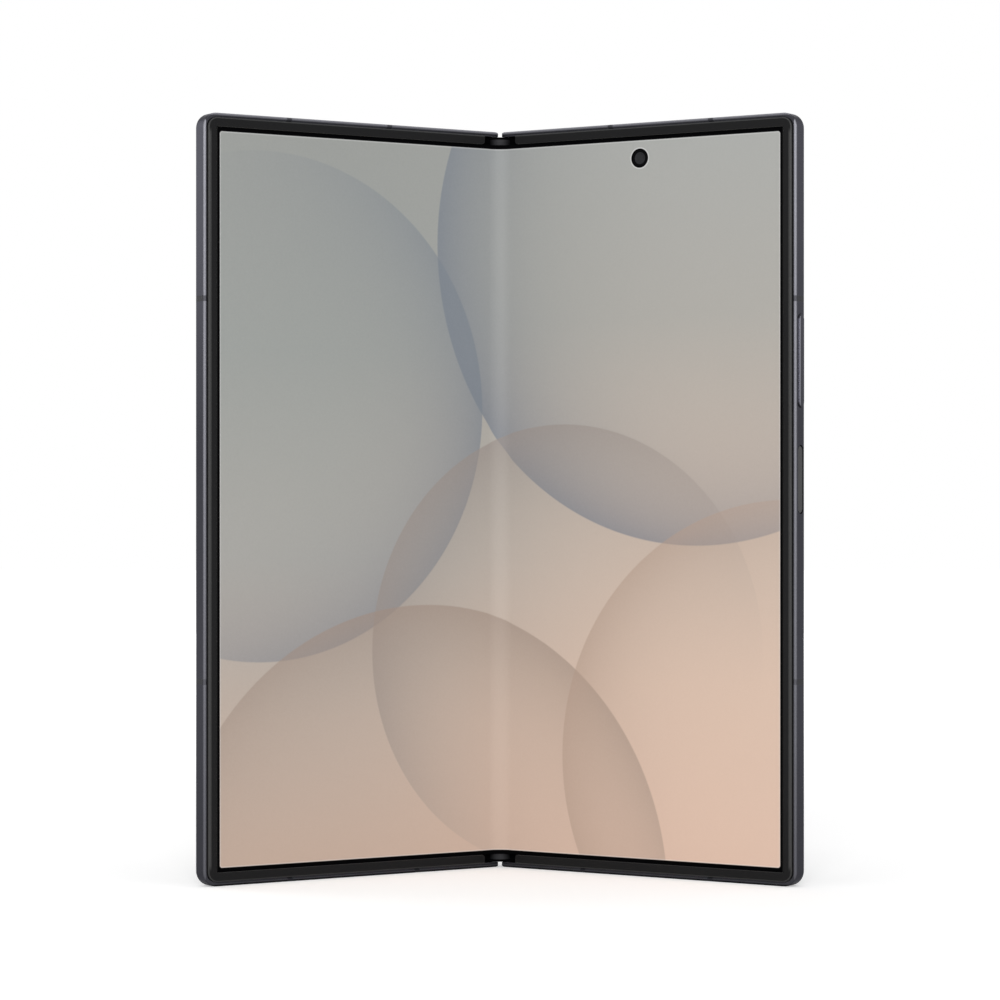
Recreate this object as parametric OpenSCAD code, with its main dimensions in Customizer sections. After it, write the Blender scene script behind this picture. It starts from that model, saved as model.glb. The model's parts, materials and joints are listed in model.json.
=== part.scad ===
// Foldable phone, half open, standing on its lower edges like a book.
// Each half is drawn flat: x runs out from the fold, y runs from the display to the back
// and z is the height above the middle. The halves are then turned about the fold axes.

/* [Body] */
// Height of the phone
height = 158.4; // [150:0.2:164]
// Width of one half, from the fold to its free side
half_w = 71.6; // [70:0.2:76]
// Depth from the display's surface to the back
back_y = 3.95; // [3.9:0.05:4.3]
// Radius of the free corners, seen from the front
corner_r = 3.1; // [3.1:0.1:6]
// Size of the rounded front edge of the frame
front_edge = 0.45; // [0.2:0.05:0.5]
// Size of the rounded back edge of the frame
back_edge = 0.6; // [0.3:0.05:0.7]
// Thickness of the frame's outer wall
wall_t = 1.5; // [1.3:0.05:1.7]
// Width of the frame's front lip
lip_w = 0.65; // [0.55:0.05:0.75]
// Width of the frame's lip round the back glass
back_lip_w = 0.8; // [0.75:0.05:1]
// Thickness of the back glass and of the cover glass
glass_t = 0.55; // [0.45:0.05:0.6]
// How far each half is folded from flat
rest_fold = 32; // [0:1:90]

/* [Display] */
// Height of the bezel over the display
bezel_proud = 0.25; // [0.15:0.05:0.3]
// Width of the bezel
bezel_w = 1.95; // [1.6:0.05:2.2]
// Gap between the frame's lip and the bezel
seam_gap = 0.25; // [0.15:0.05:0.35]
// Size of the bezel's rounded outer edge
bezel_slope = 0.45; // [0.2:0.05:0.5]
// Thickness of the display
display_t = 0.4; // [0.3:0.02:0.4]
// Thickness of the metal plate behind the display
plate_t = 0.15; // [0.1:0.01:0.15]
// Radius of the camera's hole in the display
eye_r = 1.9; // [1.5:0.1:2.2]
// Distance of the inner camera from the free side
eye_side = 36.7; // [32:0.1:41]
// Distance of the inner camera from the top edge
eye_drop = 7.5; // [7.2:0.1:8.5]

/* [Hinge] */
// Distance of each fold axis from the middle
axis_x = 1.4; // [1.4:0.02:1.5]
// Depth of the fold axes
axis_y = 0.9; // [0.85:0.01:0.92]
// Outer radius of the spine cover about the fold axes
spine_r = 2.48; // [2.44:0.01:2.5]
// Wall of the spine cover
spine_t = 0.38; // [0.3:0.02:0.42]
// Inner radius of the swing arms' arc rails
rail_r = 1.5; // [1.46:0.01:1.54]
// Thickness of the swing arms' arc rails
rail_t = 0.55; // [0.45:0.01:0.56]
// Width of one arc rail
rail_w = 5.2; // [4:0.1:6]
// Running gap of the arc rails
run_gap = 0.05; // [0.03:0.01:0.06]
// Height of a hinge module's middle above the phone's middle
module_z = 52; // [40:1:56]
// Radius of the frames' rounded inner ends about the fold axes
end_r = 1; // [0.9:0.05:1.2]
// Tilt of a wing plate for each degree of fold
tilt_ratio = 0.12; // [0.1:0.01:0.12]

/* [Gears] */
// Size of one gear tooth: pitch diameter for each tooth
tooth_m = 0.1; // [0.098:0.001:0.101]
// Teeth of a whole wheel with the arm sector's radius
sector_teeth = 16; // [16:1:16]
// Teeth of an outer idler
outer_teeth = 10; // [10:1:10]
// Teeth of an inner idler
inner_teeth = 11; // [11:1:11]
// Width of the gears
gear_w = 3; // [2:0.1:3.2]
// Radius of the idlers' pins
pin_r = 0.18; // [0.14:0.01:0.2]

/* [Keys and ports] */
// Length of the volume key
volume_l = 19.1; // [16:0.1:22]
// Height of the volume key's middle above the phone's middle
volume_z = 28.4; // [26:0.1:32]
// How far the volume key stands out of the side
volume_proud = 0.3; // [0.2:0.05:0.4]
// Length of the side key
side_l = 13.9; // [11:0.1:15]
// Height of the side key's middle above the phone's middle
side_z = 4.1; // [0:0.1:5]
// Width of both keys
key_w = 2.3; // [1.8:0.05:2.35]
// Gap round a key in its slot
key_gap = 0.1; // [0.06:0.01:0.15]
// Travel of the side key
key_travel = 0.2; // [0.1:0.01:0.22]
// Width of the charging port's mouth
port_w = 8.6; // [8.4:0.1:9]
// Height of the charging port's mouth
port_h = 2.6; // [2.5:0.02:2.66]
// Depth of the charging port
port_d = 7.2; // [6:0.1:8]
// Distance of the charging port from the free side
port_side = 36; // [33.6:0.1:38]
// Width of an antenna band
band_w = 1.17; // [0.9:0.01:1.4]
// Width of the card tray's outer face
tray_face_w = 14.6; // [13.6:0.1:16]
// Depth of the card tray
tray_l = 18.5; // [16:0.5:20]
// Distance of the card tray from the free side
tray_side = 29.1; // [28.6:0.5:30.6]

/* [Cameras] */
// Width of the camera island
island_w = 16.4; // [15:0.1:18]
// Height of the camera island
island_h = 48; // [46:0.5:52]
// Height of the camera island over the glass
island_t = 1.5; // [1.2:0.1:2]
// Distance of the camera island's middle from the free side
island_side = 13.6; // [13.1:0.5:15.6]
// Distance of the camera island's top from the phone's top edge
island_drop = 6; // [5:0.5:8]
// Distance from one rear lens to the next
lens_pitch = 15.6; // [15:0.1:16]
// Outer radius of a lens ring
lens_r = 6.3; // [5.6:0.1:6.6]

/* [Inner parts] */
// Thickness of the right battery
right_battery_t = 2; // [1.6:0.05:2.1]
// Thickness of the left battery
left_battery_t = 1.85; // [1.5:0.05:1.9]
// Outer radius of the charging coil
coil_r = 21; // [18:0.5:23]
// Thickness of the circuit boards
board_t = 0.6; // [0.5:0.05:0.8]
// Thickness of the cover display
cover_display_t = 0.4; // [0.3:0.05:0.45]
// Radius of the cover camera's hole
cover_eye_r = 1.9; // [1.5:0.1:2.1]

/* [Hidden] */
$fn = 64;

frame_color = "#4a4b52";
dark_color = "#232427";
steel_color = "#9a9ca0";
black_color = "#0c0c0e";
board_color = "#1d3a2e";
gold_color = "#b9985a";
battery_color = "#2c2d31";
screen_color = "#b9b4ac";

// depths, from the display's surface to the back
lip_y = 0.05;
plate_back_y = display_t + plate_t;
floor_t = 0.45;
floor_y = plate_back_y + floor_t;
glass_y = back_y - glass_t;
part_gap = 0.05;

// the frame's inner end, seen in cross-section
end_x = axis_x - end_r;
back_end_x = 0.15;
back_end_chamfer = 0.25;
end_corner_r = 1.1;

// heights of the spine and of its end caps, from the phone's middle
end_wall_t = 1;
spine_gap = 0.1;
spine_h = height / 2 - end_wall_t - spine_gap;
display_edge = lip_w + seam_gap + bezel_w + part_gap;
display_h = height / 2 - display_edge;
cap_t = spine_h - display_h - part_gap;
cover_h = spine_h - cap_t;
cap_lug_w = 2.6;
cap_front_y = 0.3;
cap_step = 0.4;
cap_plug = 1.3;
cap_bow_r = 3.1;
cover_front_y = 1.25;
inner_r = spine_r - spine_t;
base_front_y = 1.15;
rib_w = 0.9;
bar_w = 1.8;
bar_t = 0.3;
bar_y = plate_back_y - 0.05;
lattice_t = bar_y - display_t;

// bay for the spine and rail that carries the arms
bay_x = 4.3;
rail_x = 10;
rail_front_y = 1.85;
back_strip_w = 0.9;
glass_x = bay_x + back_strip_w;

// wing plates and their pivots
wing_t = 0.2;
wing_x = 1.8;
bead_r = 0.25;
pivot_x = 8.05;
wing_y = plate_back_y;
pivot_y = wing_y + bead_r;
panel_x = pivot_x + 0.35;
notch_x = 7.2;
wing_end_gap = 0.4;

// bend of the display
bend_in = bar_w / 2;
bend_out = 3.6;
bend_steps = 10;

// hinge module: gears in the middle, an arc rail on each side
slab_gap = 0.1;
bay_h = gear_w + 4 * slab_gap;
web_wall = 0.8;
pin_l = bay_h + 2 * (web_wall - slab_gap);
rail_z = bay_h / 2 + web_wall + slab_gap;
base_end = rail_z + rail_w + slab_gap;
base_h = base_end + 1;
lug_l = 3.5;
arm_low = -gear_w / 2;
arm_high = rail_z + rail_w;
slot_gap = 0.15;
slot_y = 2.15;
tab_y = 1.3;
tab_t = rail_front_y - tab_y;
tab_x = 9.9;
tab_start_r = inner_r + part_gap;
arm_screw_x = 9.05;
arm_screw_z = [0.6, 5.6];
arm_head_r = 0.8;
arm_head_t = 0.3;
arm_shank_r = 0.45;
arm_shank_l = 1.6;
lug_w = 2.4;
lug_y = 1.9;
boss_y = 2.6;
boss_r = 0.9;
spine_head_r = 0.7;
spine_head_t = 0.4;
spine_shank_r = 0.35;
rail_start = 12;
rail_end = 165;

// gear train, sector to outer idler to inner idler
sector_r = sector_teeth * tooth_m / 2;
outer_r = outer_teeth * tooth_m / 2;
inner_gear_r = inner_teeth * tooth_m / 2;
addendum = 0.078;
dedendum = 0.115;
tooth_w = 0.122;
flank = tan(20);
inner_gear_x = inner_gear_r;
outer_gear_x = inner_gear_x + inner_gear_r + outer_r;
gear_y = axis_y + sqrt(pow(sector_r + outer_r, 2) - pow(outer_gear_x - axis_x, 2));
mesh_angle = atan2(gear_y - axis_y, outer_gear_x - axis_x);
hub_y = 0.2;
web_y = 0.5;
pin_gap = 0.03;

// keys
key_y = 2;
rock_gap = 0.25;
flange_t = 0.35;
flange_over = 0.9;
dome_r = 0.9;
dome_t = 0.35;
strip_t = 0.4;
rock_x = half_w - wall_t - rock_gap - flange_t;
rock_bead_r = 0.25;
rock_bead_h = 1.6;
port_y = 2.0;
shell_t = 0.1;
tray_y = 2.2;
tray_face_h = 1.7;
tray_face_t = 0.9;
tray_w = 12.4;
tray_t = 0.8;

// antenna bands, by their distance from the fold on each edge and their height on the side
band_depth = 1.2;
top_bands = [27.7, half_w - 19.9];
bottom_bands = [20.9, half_w - 20.1];
side_bands = [41.1, -37.3];

// places of the ports and cameras, by their distance from the fold
eye_x = half_w - eye_side;
port_x = half_w - port_side;
tray_x = half_w - tray_side;
island_x = half_w - island_side;

// rear cameras
island_z = height / 2 - island_drop - island_h / 2;
lens_z = [for (i = [-1:1]) island_z - i * lens_pitch];
ring_t = 0.6;
ring_w = 1.3;
window_t = 0.4;
barrel_r = [4.2, 4.2, 3.9];
module_size = [10.4, 10, 9.6];
flash_x = island_x - island_w / 2 - 3.4;
flash_r = 1.9;
eye_z = height / 2 - eye_drop;
cover_eye_x = half_w - 35.6;
cover_eye_z = height / 2 - 8.4;

// room for the inner parts, and the gaps that they keep to it and to each other
parts_x = rail_x + 3;
parts_h = height / 2 - wall_t;
battery_side = 8.1;
right_battery_foot = 15.7;
left_battery_foot = 27.7;
left_battery_head = 45.7;
battery_end_x = half_w - wall_t - battery_side;
right_battery_low = -parts_h + right_battery_foot;
right_battery_high = 0;
left_battery_low = -parts_h + left_battery_foot;
left_battery_high = parts_h - left_battery_head;
board_gap = 3;
board_low = right_battery_high + board_gap;
board_high = parts_h - 1.7;
board_end_x = island_x - module_size[0] / 2 - 1.8;
second_gap = 4;
second_head = 11.7;
second_low = left_battery_high + second_gap;
second_high = parts_h - second_head;
second_notch = [10, 10];
can_t = 1.3;
cans = [[0.05, 0.04, 0.55, 0.37], [0.6, 0.04, 0.95, 0.53], [0.05, 0.41, 0.53, 0.75]];
speaker_t = 2.2;
speaker_h = 11.7;
speaker_x = parts_x - 1;
speaker_end_x = port_x - port_w / 2 - 3.3;
top_speaker_x = cover_eye_x + 5;
top_speaker_w = 16;
top_speaker_h = 10.7;
top_speaker_t = glass_y - cover_display_t - floor_y - slab_gap;
slot_w = 1.5;
slot_h = 0.9;
slot_pitch = 2.2;
slot_count = 4;
sound_hole_r = 0.35;
motor_size = [14, 1.8, 12];
motor_low = -parts_h + 3.7;
magnet_size = [3, 1.6, 18];
magnet_z = [-parts_h + 19.7, parts_h - 25.7];
coil_t = 0.25;
coil_x = (parts_x + battery_end_x) / 2;
coil_z = (right_battery_low + right_battery_high) / 2;
tongue_w = 6.7;
tongue_t = 0.7;

// where a point of the flat right half comes to lie at the rest fold
function turned(x, y, a) = [
    axis_x + (x - axis_x) * cos(a) + (y - axis_y) * sin(a),
    axis_y - (x - axis_x) * sin(a) + (y - axis_y) * cos(a)
];
nearest_y = min(
    turned(half_w - front_edge, lip_y + front_edge, rest_fold).y - front_edge,
    turned(half_w - lip_w - seam_gap - bezel_slope, bezel_slope - bezel_proud, rest_fold).y - bezel_slope
);
back_points = [[back_end_x, back_y - back_end_chamfer], [back_end_x + back_end_chamfer, back_y]];
mid_y = (nearest_y + max([for (p = back_points) turned(p.x, p.y, rest_fold).y])) / 2;

// puts the phone's standing point at the origin
module placed() {
    translate([0, -mid_y, height / 2]) children();
}

// turns what was drawn flat for the right half to the rest fold
module on_right() {
    placed()
        translate([axis_x, axis_y, 0])
        rotate([0, 0, -rest_fold])
        translate([-axis_x, -axis_y, 0])
        children();
}

module on_left() {
    mirror([1, 0, 0]) on_right() children();
}

// extrudes an x-z outline from one depth to another
module slab(y0, y1) {
    rotate([90, 0, 0])
        translate([0, 0, -y1])
        linear_extrude(y1 - y0)
        children();
}

// extrudes an x-y outline from one height to another
module bar(z0, z1) {
    translate([0, 0, z0]) linear_extrude(z1 - z0) children();
}

// box from its lowest to its highest corner
module block(a, b) {
    translate(a) cube(b - a);
}

module rounded(w, h, r) {
    square([w - 2 * r, h], center = true);
    square([w, h - 2 * r], center = true);
    for (x = [-1, 1]) for (y = [-1, 1])
        translate([x * (w / 2 - r), y * (h / 2 - r)]) circle(r);
}

module stadium(w, h) {
    r = min(w, h) / 2;
    square([w - (w > h ? 2 * r : 0), h - (w > h ? 0 : 2 * r)], center = true);
    for (i = [-1, 1])
        translate(w > h ? [i * (w / 2 - r), 0] : [0, i * (h / 2 - r)]) circle(r);
}

// sweeps an outline round the top, the free side and the bottom of a half;
// its x is the distance in from the edge, its y the depth
module edge_sweep(x0) {
    run = half_w - corner_r - x0;
    rise = height / 2 - corner_r;
    for (m = [0, 1]) mirror([0, 0, m]) {
        translate([x0, 0, height / 2]) rotate([0, 90, 0]) linear_extrude(run) children();
        translate([half_w - corner_r, 0, rise])
            rotate([90, 0, 0])
            rotate_extrude(angle = 90)
            translate([corner_r, 0]) rotate(180) children();
    }
    translate([half_w, 0, rise]) rotate([0, 180, 0]) linear_extrude(2 * rise) children();
}

// quarter of a disc that rounds an outer edge; its corner lies at the origin
module round_edge(r) {
    intersection() {
        translate([r, r]) circle(r);
        square(r);
    }
}

// cross-section of the frame's wall down to a given depth in from the edge
module wall_profile(depth) {
    translate([0, lip_y]) round_edge(front_edge);
    translate([0, back_y]) mirror([0, 1]) round_edge(back_edge);
    polygon([
        [0, lip_y + front_edge],
        [front_edge, lip_y + front_edge],
        [front_edge, lip_y],
        [lip_w, lip_y],
        [lip_w, plate_back_y],
        [depth, plate_back_y],
        [depth, glass_y],
        [back_lip_w, glass_y],
        [back_lip_w, back_y],
        [back_edge, back_y],
        [back_edge, back_y - back_edge],
        [0, back_y - back_edge]
    ]);
}

// outline of a half's face, a distance in from its edges, from x0 to the free side
module face_outline(x0, inset) {
    r = max(corner_r - inset, 0.3);
    w = half_w - inset - x0;
    h = height / 2 - inset;
    translate([x0, -h]) square([w - r, 2 * h]);
    translate([x0, -h + r]) square([w, 2 * h - 2 * r]);
    for (s = [-1, 1]) translate([x0 + w - r, s * (h - r)]) circle(r);
}

// what stays free for the other half and the spine at the frame's inner end
module inner_end_cut() {
    bar(-height, height) {
        difference() {
            translate([end_x - 3, -1]) square([3 + end_r, 1 + axis_y]);
            translate([axis_x, axis_y]) circle(end_r);
        }
        translate([-2, -1]) square([2 + end_x, 1 + glass_y]);
        translate([back_end_x, back_y - back_end_chamfer]) polygon([[-2, -2], [2, 2], [-2, 2]]);
    }
    for (m = [0, 1]) mirror([0, 0, m])
        slab(-1, back_y + 1) difference() {
            translate([-1, height / 2 - end_corner_r]) square([1 + end_x + end_corner_r, end_corner_r + 1]);
            translate([end_corner_r + end_x, height / 2 - end_corner_r]) circle(end_corner_r);
            translate([end_corner_r + end_x, 0]) square([2, height]);
        }
}

// height ranges of the arms on one side, as pairs
function arm_ranges(flip) = [
    for (s = [-1, 1]) s * flip > 0
        ? [s * module_z + arm_low, s * module_z + arm_high]
        : [s * module_z - arm_high, s * module_z - arm_low]
];

module frame_body(flip) {
    difference() {
        union() {
            edge_sweep(back_end_x) wall_profile(wall_t);
            slab(plate_back_y, floor_y) face_outline(pivot_x, wall_t - 0.1);
            block([bay_x, rail_front_y, -height / 2 + 1], [rail_x, glass_y, height / 2 - 1]);
            block([panel_x, floor_y - 0.1, -height / 2 + 1], [rail_x, rail_front_y, height / 2 - 1]);
            block([bay_x, glass_y - 0.1, -height / 2 + 1], [glass_x - part_gap, back_y, height / 2 - 1]);
            bar(-height / 2 + back_lip_w, height / 2 - back_lip_w) polygon([
                [back_end_x, glass_y + part_gap],
                [back_end_x, back_y - back_end_chamfer],
                [back_end_x + back_end_chamfer, back_y],
                [bay_x + 0.1, back_y],
                [bay_x + 0.1, glass_y + part_gap]
            ]);
        }
        // bay for the spine
        block([-1, -1, -spine_h - spine_gap], [bay_x, glass_y + part_gap, spine_h + spine_gap]);
        // room for the arms' tabs and their screws
        for (r = arm_ranges(flip)) {
            block([panel_x - 0.3, 0, r[0] - slot_gap], [tab_x + part_gap, rail_front_y, r[1] + slot_gap]);
        }
        for (z = screw_heights(flip))
            translate([arm_screw_x, rail_front_y - 0.1, z]) rotate([-90, 0, 0])
                cylinder(r = arm_shank_r, h = arm_shank_l - tab_t + 0.15);
        // groove for the wing plate's bead
        bar(-height / 2 + 2, height / 2 - 2) translate([pivot_x, pivot_y]) circle(bead_r + part_gap);
        inner_end_cut();
        band_cuts();
    }
}

function screw_heights(flip) = [
    for (r = arm_ranges(flip)) for (d = arm_screw_z)
        (r[0] > 0) == (flip > 0) ? r[0] + 1.5 + d : r[1] - 1.5 - d
];

module band_cuts() {
    for (x = top_bands)
        block([x - band_w / 2, -1, height / 2 - band_depth], [x + band_w / 2, back_y + 1, height]);
    for (x = bottom_bands)
        block([x - band_w / 2, -1, -height], [x + band_w / 2, back_y + 1, -height / 2 + band_depth]);
    for (z = side_bands)
        block([half_w - band_depth, -1, z - band_w / 2], [half_w + 1, back_y + 1, z + band_w / 2]);
}

// plastic bands let into the frame's wall
module antenna_bands() {
    color(dark_color) {
        for (x = top_bands)
            translate([x - band_w / 2, 0, height / 2]) rotate([0, 90, 0])
                linear_extrude(band_w) wall_profile(band_depth);
        for (x = bottom_bands)
            mirror([0, 0, 1]) translate([x - band_w / 2, 0, height / 2]) rotate([0, 90, 0])
                linear_extrude(band_w) wall_profile(band_depth);
        for (z = side_bands)
            translate([half_w, 0, z + band_w / 2]) rotate([0, 180, 0])
                linear_extrude(band_w) wall_profile(band_depth);
    }
}

// one slot for a key through the frame's wall
module key_slot(length, z) {
    translate([half_w - wall_t - 0.5, key_y, z]) rotate([0, 90, 0])
        linear_extrude(wall_t + 1)
        stadium(length + 2 * key_gap, key_w + 2 * key_gap);
}

// row of slots that lets a speaker's sound out through the wall
module sound_slots() {
    for (i = [0:slot_count - 1])
        translate([slot_pitch * i, 0, 0]) linear_extrude(wall_t + 1.5) stadium(slot_w, slot_h);
}

module right_frame() {
    color(frame_color) on_right() difference() {
        frame_body(1);
        key_slot(volume_l, volume_z);
        key_slot(side_l, side_z);
        // charging port, speaker slots and microphone hole in the bottom
        translate([port_x, port_y, -height / 2 - 1])
            linear_extrude(wall_t + 1.5) stadium(port_w, port_h);
        block([port_x - port_w / 2 - 0.6, 0, -height / 2 + wall_t],
            [port_x + port_w / 2 + 0.6, floor_y + 0.1, -height / 2 + wall_t + port_d + 0.3]);
        translate([speaker_x, key_y, -height / 2 - 1]) sound_slots();
        translate([port_x + 10.4, key_y, -height / 2 - 1]) cylinder(r = sound_hole_r, h = wall_t + 1.5);
        translate([eye_x + 5.1, key_y, height / 2 - wall_t - 0.5]) cylinder(r = sound_hole_r, h = wall_t + 1.5);
        translate([eye_x, floor_y + 0.5, eye_z]) rotate([90, 0, 0]) cylinder(r = eye_r + 0.4, h = 2);
    }
}

module left_frame() {
    color(frame_color) on_left() difference() {
        frame_body(-1);
        // card tray's mouth in the bottom
        translate([tray_x, tray_y, -height / 2 - 1])
            linear_extrude(tray_face_t + 1.05)
            stadium(tray_face_w + 0.2, tray_face_h + 0.2);
        block([tray_x - tray_w / 2 - 0.2, tray_y - tray_t / 2 - 0.15, -height / 2],
            [tray_x + tray_w / 2 + 0.2, tray_y + tray_t / 2 + 0.15, -height / 2 + wall_t + 0.5]);
        translate([top_speaker_x + 1, key_y, height / 2 - wall_t - 0.5]) sound_slots();
    }
}

module right_antenna_bands() {
    on_right() antenna_bands();
}

module left_antenna_bands() {
    on_left() antenna_bands();
}

// raised border round the display, open at the fold
module bezel() {
    inner = lip_w + seam_gap + bezel_w;
    outer = lip_w + seam_gap;
    color(dark_color) difference() {
        edge_sweep(bay_x) {
            translate([outer, -bezel_proud]) round_edge(bezel_slope);
            polygon([
                [outer, plate_back_y],
                [outer, bezel_slope - bezel_proud],
                [outer + bezel_slope, bezel_slope - bezel_proud],
                [outer + bezel_slope, -bezel_proud],
                [inner - 0.1, -bezel_proud],
                [inner, 0.1 - bezel_proud],
                [inner, plate_back_y]
            ]);
        }
        // rounded inner ends beside the spine
        for (m = [0, 1]) mirror([0, 0, m])
            translate([bay_x, 0, height / 2 - inner]) slab(-1, 1) difference() {
                translate([-1, -1]) square([1.6, 1.6]);
                translate([0.6, 0.6]) circle(0.6);
            }
    }
}

module right_bezel() {
    on_right() bezel();
}

module left_bezel() {
    on_left() bezel();
}

module display_panel(y0, y1) {
    slab(y0, y1) face_outline(panel_x + part_gap, display_edge);
}

module eye_cut(r, y0, y1) {
    translate([eye_x, y1, eye_z]) rotate([90, 0, 0]) cylinder(r = r, h = y1 - y0);
}

module right_display() {
    color(screen_color) on_right() difference() {
        display_panel(0, display_t);
        eye_cut(eye_r, -1, 1);
    }
}

module left_display() {
    color(screen_color) on_left() display_panel(0, display_t);
}

module right_display_plate() {
    color(steel_color) on_right() difference() {
        display_panel(display_t, plate_back_y);
        eye_cut(eye_r + 0.2, 0, 1);
    }
}

module left_display_plate() {
    color(steel_color) on_left() display_panel(display_t, plate_back_y);
}

// share of the fold that a point of the display takes, by its distance from the middle
function bend_share(x) = let (t = min(1, max(0, (x - bend_in) / (bend_out - bend_in)))) t * t * (3 - 2 * t);
bend_xs = [
    for (i = [0:bend_steps]) bend_in + (bend_out - bend_in) * i / bend_steps,
    panel_x
];
bend_front = [for (x = bend_xs) turned(x, 0, rest_fold * bend_share(x))];
bend_back = [for (x = bend_xs) turned(x, display_t + lattice_t, rest_fold * bend_share(x))];
bend_last = len(bend_xs) - 1;

// bending middle of the display, with the fine lattice behind it
module fold_display() {
    color(screen_color) placed() bar(-display_h, display_h) polygon(concat(
        [for (i = [0:bend_last]) [-bend_front[bend_last - i].x, bend_front[bend_last - i].y]],
        bend_front,
        [for (i = [0:bend_last]) bend_back[bend_last - i]],
        [for (p = bend_back) [-p.x, p.y]]
    ));
}

// outline of the spine at a radius about both fold axes, behind a front line
module spine_outline(r, front_y) {
    intersection() {
        union() {
            for (s = [-1, 1]) translate([s * axis_x, axis_y]) circle(r);
            translate([-axis_x, axis_y - r]) square([2 * axis_x, 2 * r]);
        }
        translate([-axis_x - r - 1, front_y]) square([2 * (axis_x + r + 1), 2 * r]);
    }
}

// long rounded cover over the hinge, with slots for the arms
module spine_cover() {
    color(frame_color) placed() difference() {
        union() {
            bar(-cover_h, cover_h) difference() {
                spine_outline(spine_r, cover_front_y);
                spine_outline(inner_r, cover_front_y - 1);
            }
            for (z = lug_heights())
                translate([0, boss_y, z]) rotate([-90, 0, 0])
                    cylinder(r = boss_r, h = axis_y + inner_r - boss_y + 0.1);
        }
        for (side = [-1, 1]) for (r = arm_ranges(side)) mirror([side > 0 ? 0 : 1, 0, 0])
            block([axis_x + 0.5, 0, r[0] - slot_gap], [axis_x + spine_r + 1, slot_y, r[1] + slot_gap]);
        for (z = lug_heights())
            translate([0, boss_y - 0.1, z]) rotate([-90, 0, 0])
                cylinder(r = spine_shank_r, h = axis_y + inner_r - boss_y + 0.3);
    }
}

function lug_heights() = [
    for (s = [-1, 1]) for (t = [-1, 1]) s * module_z + t * (base_h + lug_l / 2)
];

// end caps with a curved front between the bezels
module spine_end_caps() {
    color(dark_color) placed() for (m = [0, 1]) mirror([0, 0, m]) {
        bar(cover_h, spine_h) spine_outline(spine_r, cover_front_y);
        bar(cover_h - cap_plug, cover_h) spine_outline(inner_r - part_gap, lug_y);
        bar(cover_h, spine_h - cap_step) intersection() {
            translate([0, cap_front_y + cap_bow_r]) circle(cap_bow_r);
            translate([-cap_lug_w, 0]) square([2 * cap_lug_w, cover_front_y + 0.2]);
        }
        bar(spine_h - cap_step, spine_h)
            translate([-cap_lug_w + 0.2, cap_front_y + 0.4])
            square([2 * cap_lug_w - 0.4, cover_front_y - cap_front_y - 0.2]);
    }
}

// bar that carries the middle of the display
module spine_support_bar() {
    color(steel_color) placed()
        block([-bar_w / 2, bar_y, -display_h + wing_end_gap],
            [bar_w / 2, bar_y + bar_t, display_h - wing_end_gap]);
}

// base of one hinge module: core for the right rail on top, for the left one below,
// walls for the idlers' pins and a screw lug at each end
module hinge_base() {
    rib_y = bar_y + bar_t;
    inside = inner_r - run_gap;
    difference() {
        union() {
            for (m = [0, 1]) mirror([m, 0, 0]) mirror([0, 0, m]) {
                bar(bay_h / 2, bay_h / 2 + web_wall) spine_outline(inside, base_front_y);
                bar(bay_h / 2 + web_wall, base_end) difference() {
                    spine_outline(inside, base_front_y);
                    translate([axis_x, axis_y]) difference() {
                        circle(inner_r + 0.02);
                        circle(rail_r - run_gap);
                    }
                }
                bar(base_end, base_h) spine_outline(inside, base_front_y);
                block([-lug_w / 2, lug_y, base_h], [lug_w / 2, boss_y, base_h + lug_l]);
            }
            block([-rib_w / 2, rib_y, -base_h], [rib_w / 2, base_front_y, base_h]);
            block([-rib_w / 2, base_front_y, -bay_h / 2], [rib_w / 2, base_front_y + 0.3, bay_h / 2]);
        }
        for (x = [-outer_gear_x, -inner_gear_x, inner_gear_x, outer_gear_x])
            translate([x, gear_y, -pin_l / 2]) cylinder(r = pin_r, h = pin_l);
        for (t = [-1, 1])
            translate([0, lug_y - 0.1, t * (base_h + lug_l / 2)]) rotate([-90, 0, 0])
                cylinder(r = spine_shank_r, h = boss_y - lug_y + 0.2);
    }
}

// puts what was drawn about a hinge module's middle at the upper or the lower module
module at_module(s) {
    mirror([0, 0, s > 0 ? 0 : 1]) translate([0, 0, module_z]) children();
}

module hinge_base_upper() {
    color(steel_color) placed() at_module(1) hinge_base();
}

module hinge_base_lower() {
    color(steel_color) placed() at_module(-1) hinge_base();
}

module idler_pins() {
    color(gold_color) placed() for (s = [-1, 1]) at_module(s)
        for (x = [-outer_gear_x, -inner_gear_x, inner_gear_x, outer_gear_x])
            translate([x, gear_y, -pin_l / 2]) cylinder(r = pin_r, h = pin_l);
}

module spine_screws() {
    color(steel_color) placed() for (z = lug_heights()) translate([0, lug_y, z]) rotate([-90, 0, 0]) {
        translate([0, 0, -spine_head_t]) cylinder(r = spine_head_r, h = spine_head_t);
        cylinder(r = spine_shank_r, h = axis_y + inner_r - lug_y + 0.1);
    }
}

// one tooth standing on a wheel of the given pitch radius
module tooth(r) {
    foot = tooth_w / 2 + dedendum * flank;
    tip = tooth_w / 2 - addendum * flank;
    polygon([
        [r - dedendum - 0.04, -foot],
        [r + addendum, -tip],
        [r + addendum, tip],
        [r - dedendum - 0.04, foot]
    ]);
}

module gear(teeth, phase) {
    r = teeth * tooth_m / 2;
    linear_extrude(gear_w, center = true) difference() {
        union() {
            circle(r - dedendum);
            for (i = [0:teeth - 1]) rotate(phase + 360 / teeth * i) tooth(r);
        }
        circle(pin_r + pin_gap);
    }
}

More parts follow.
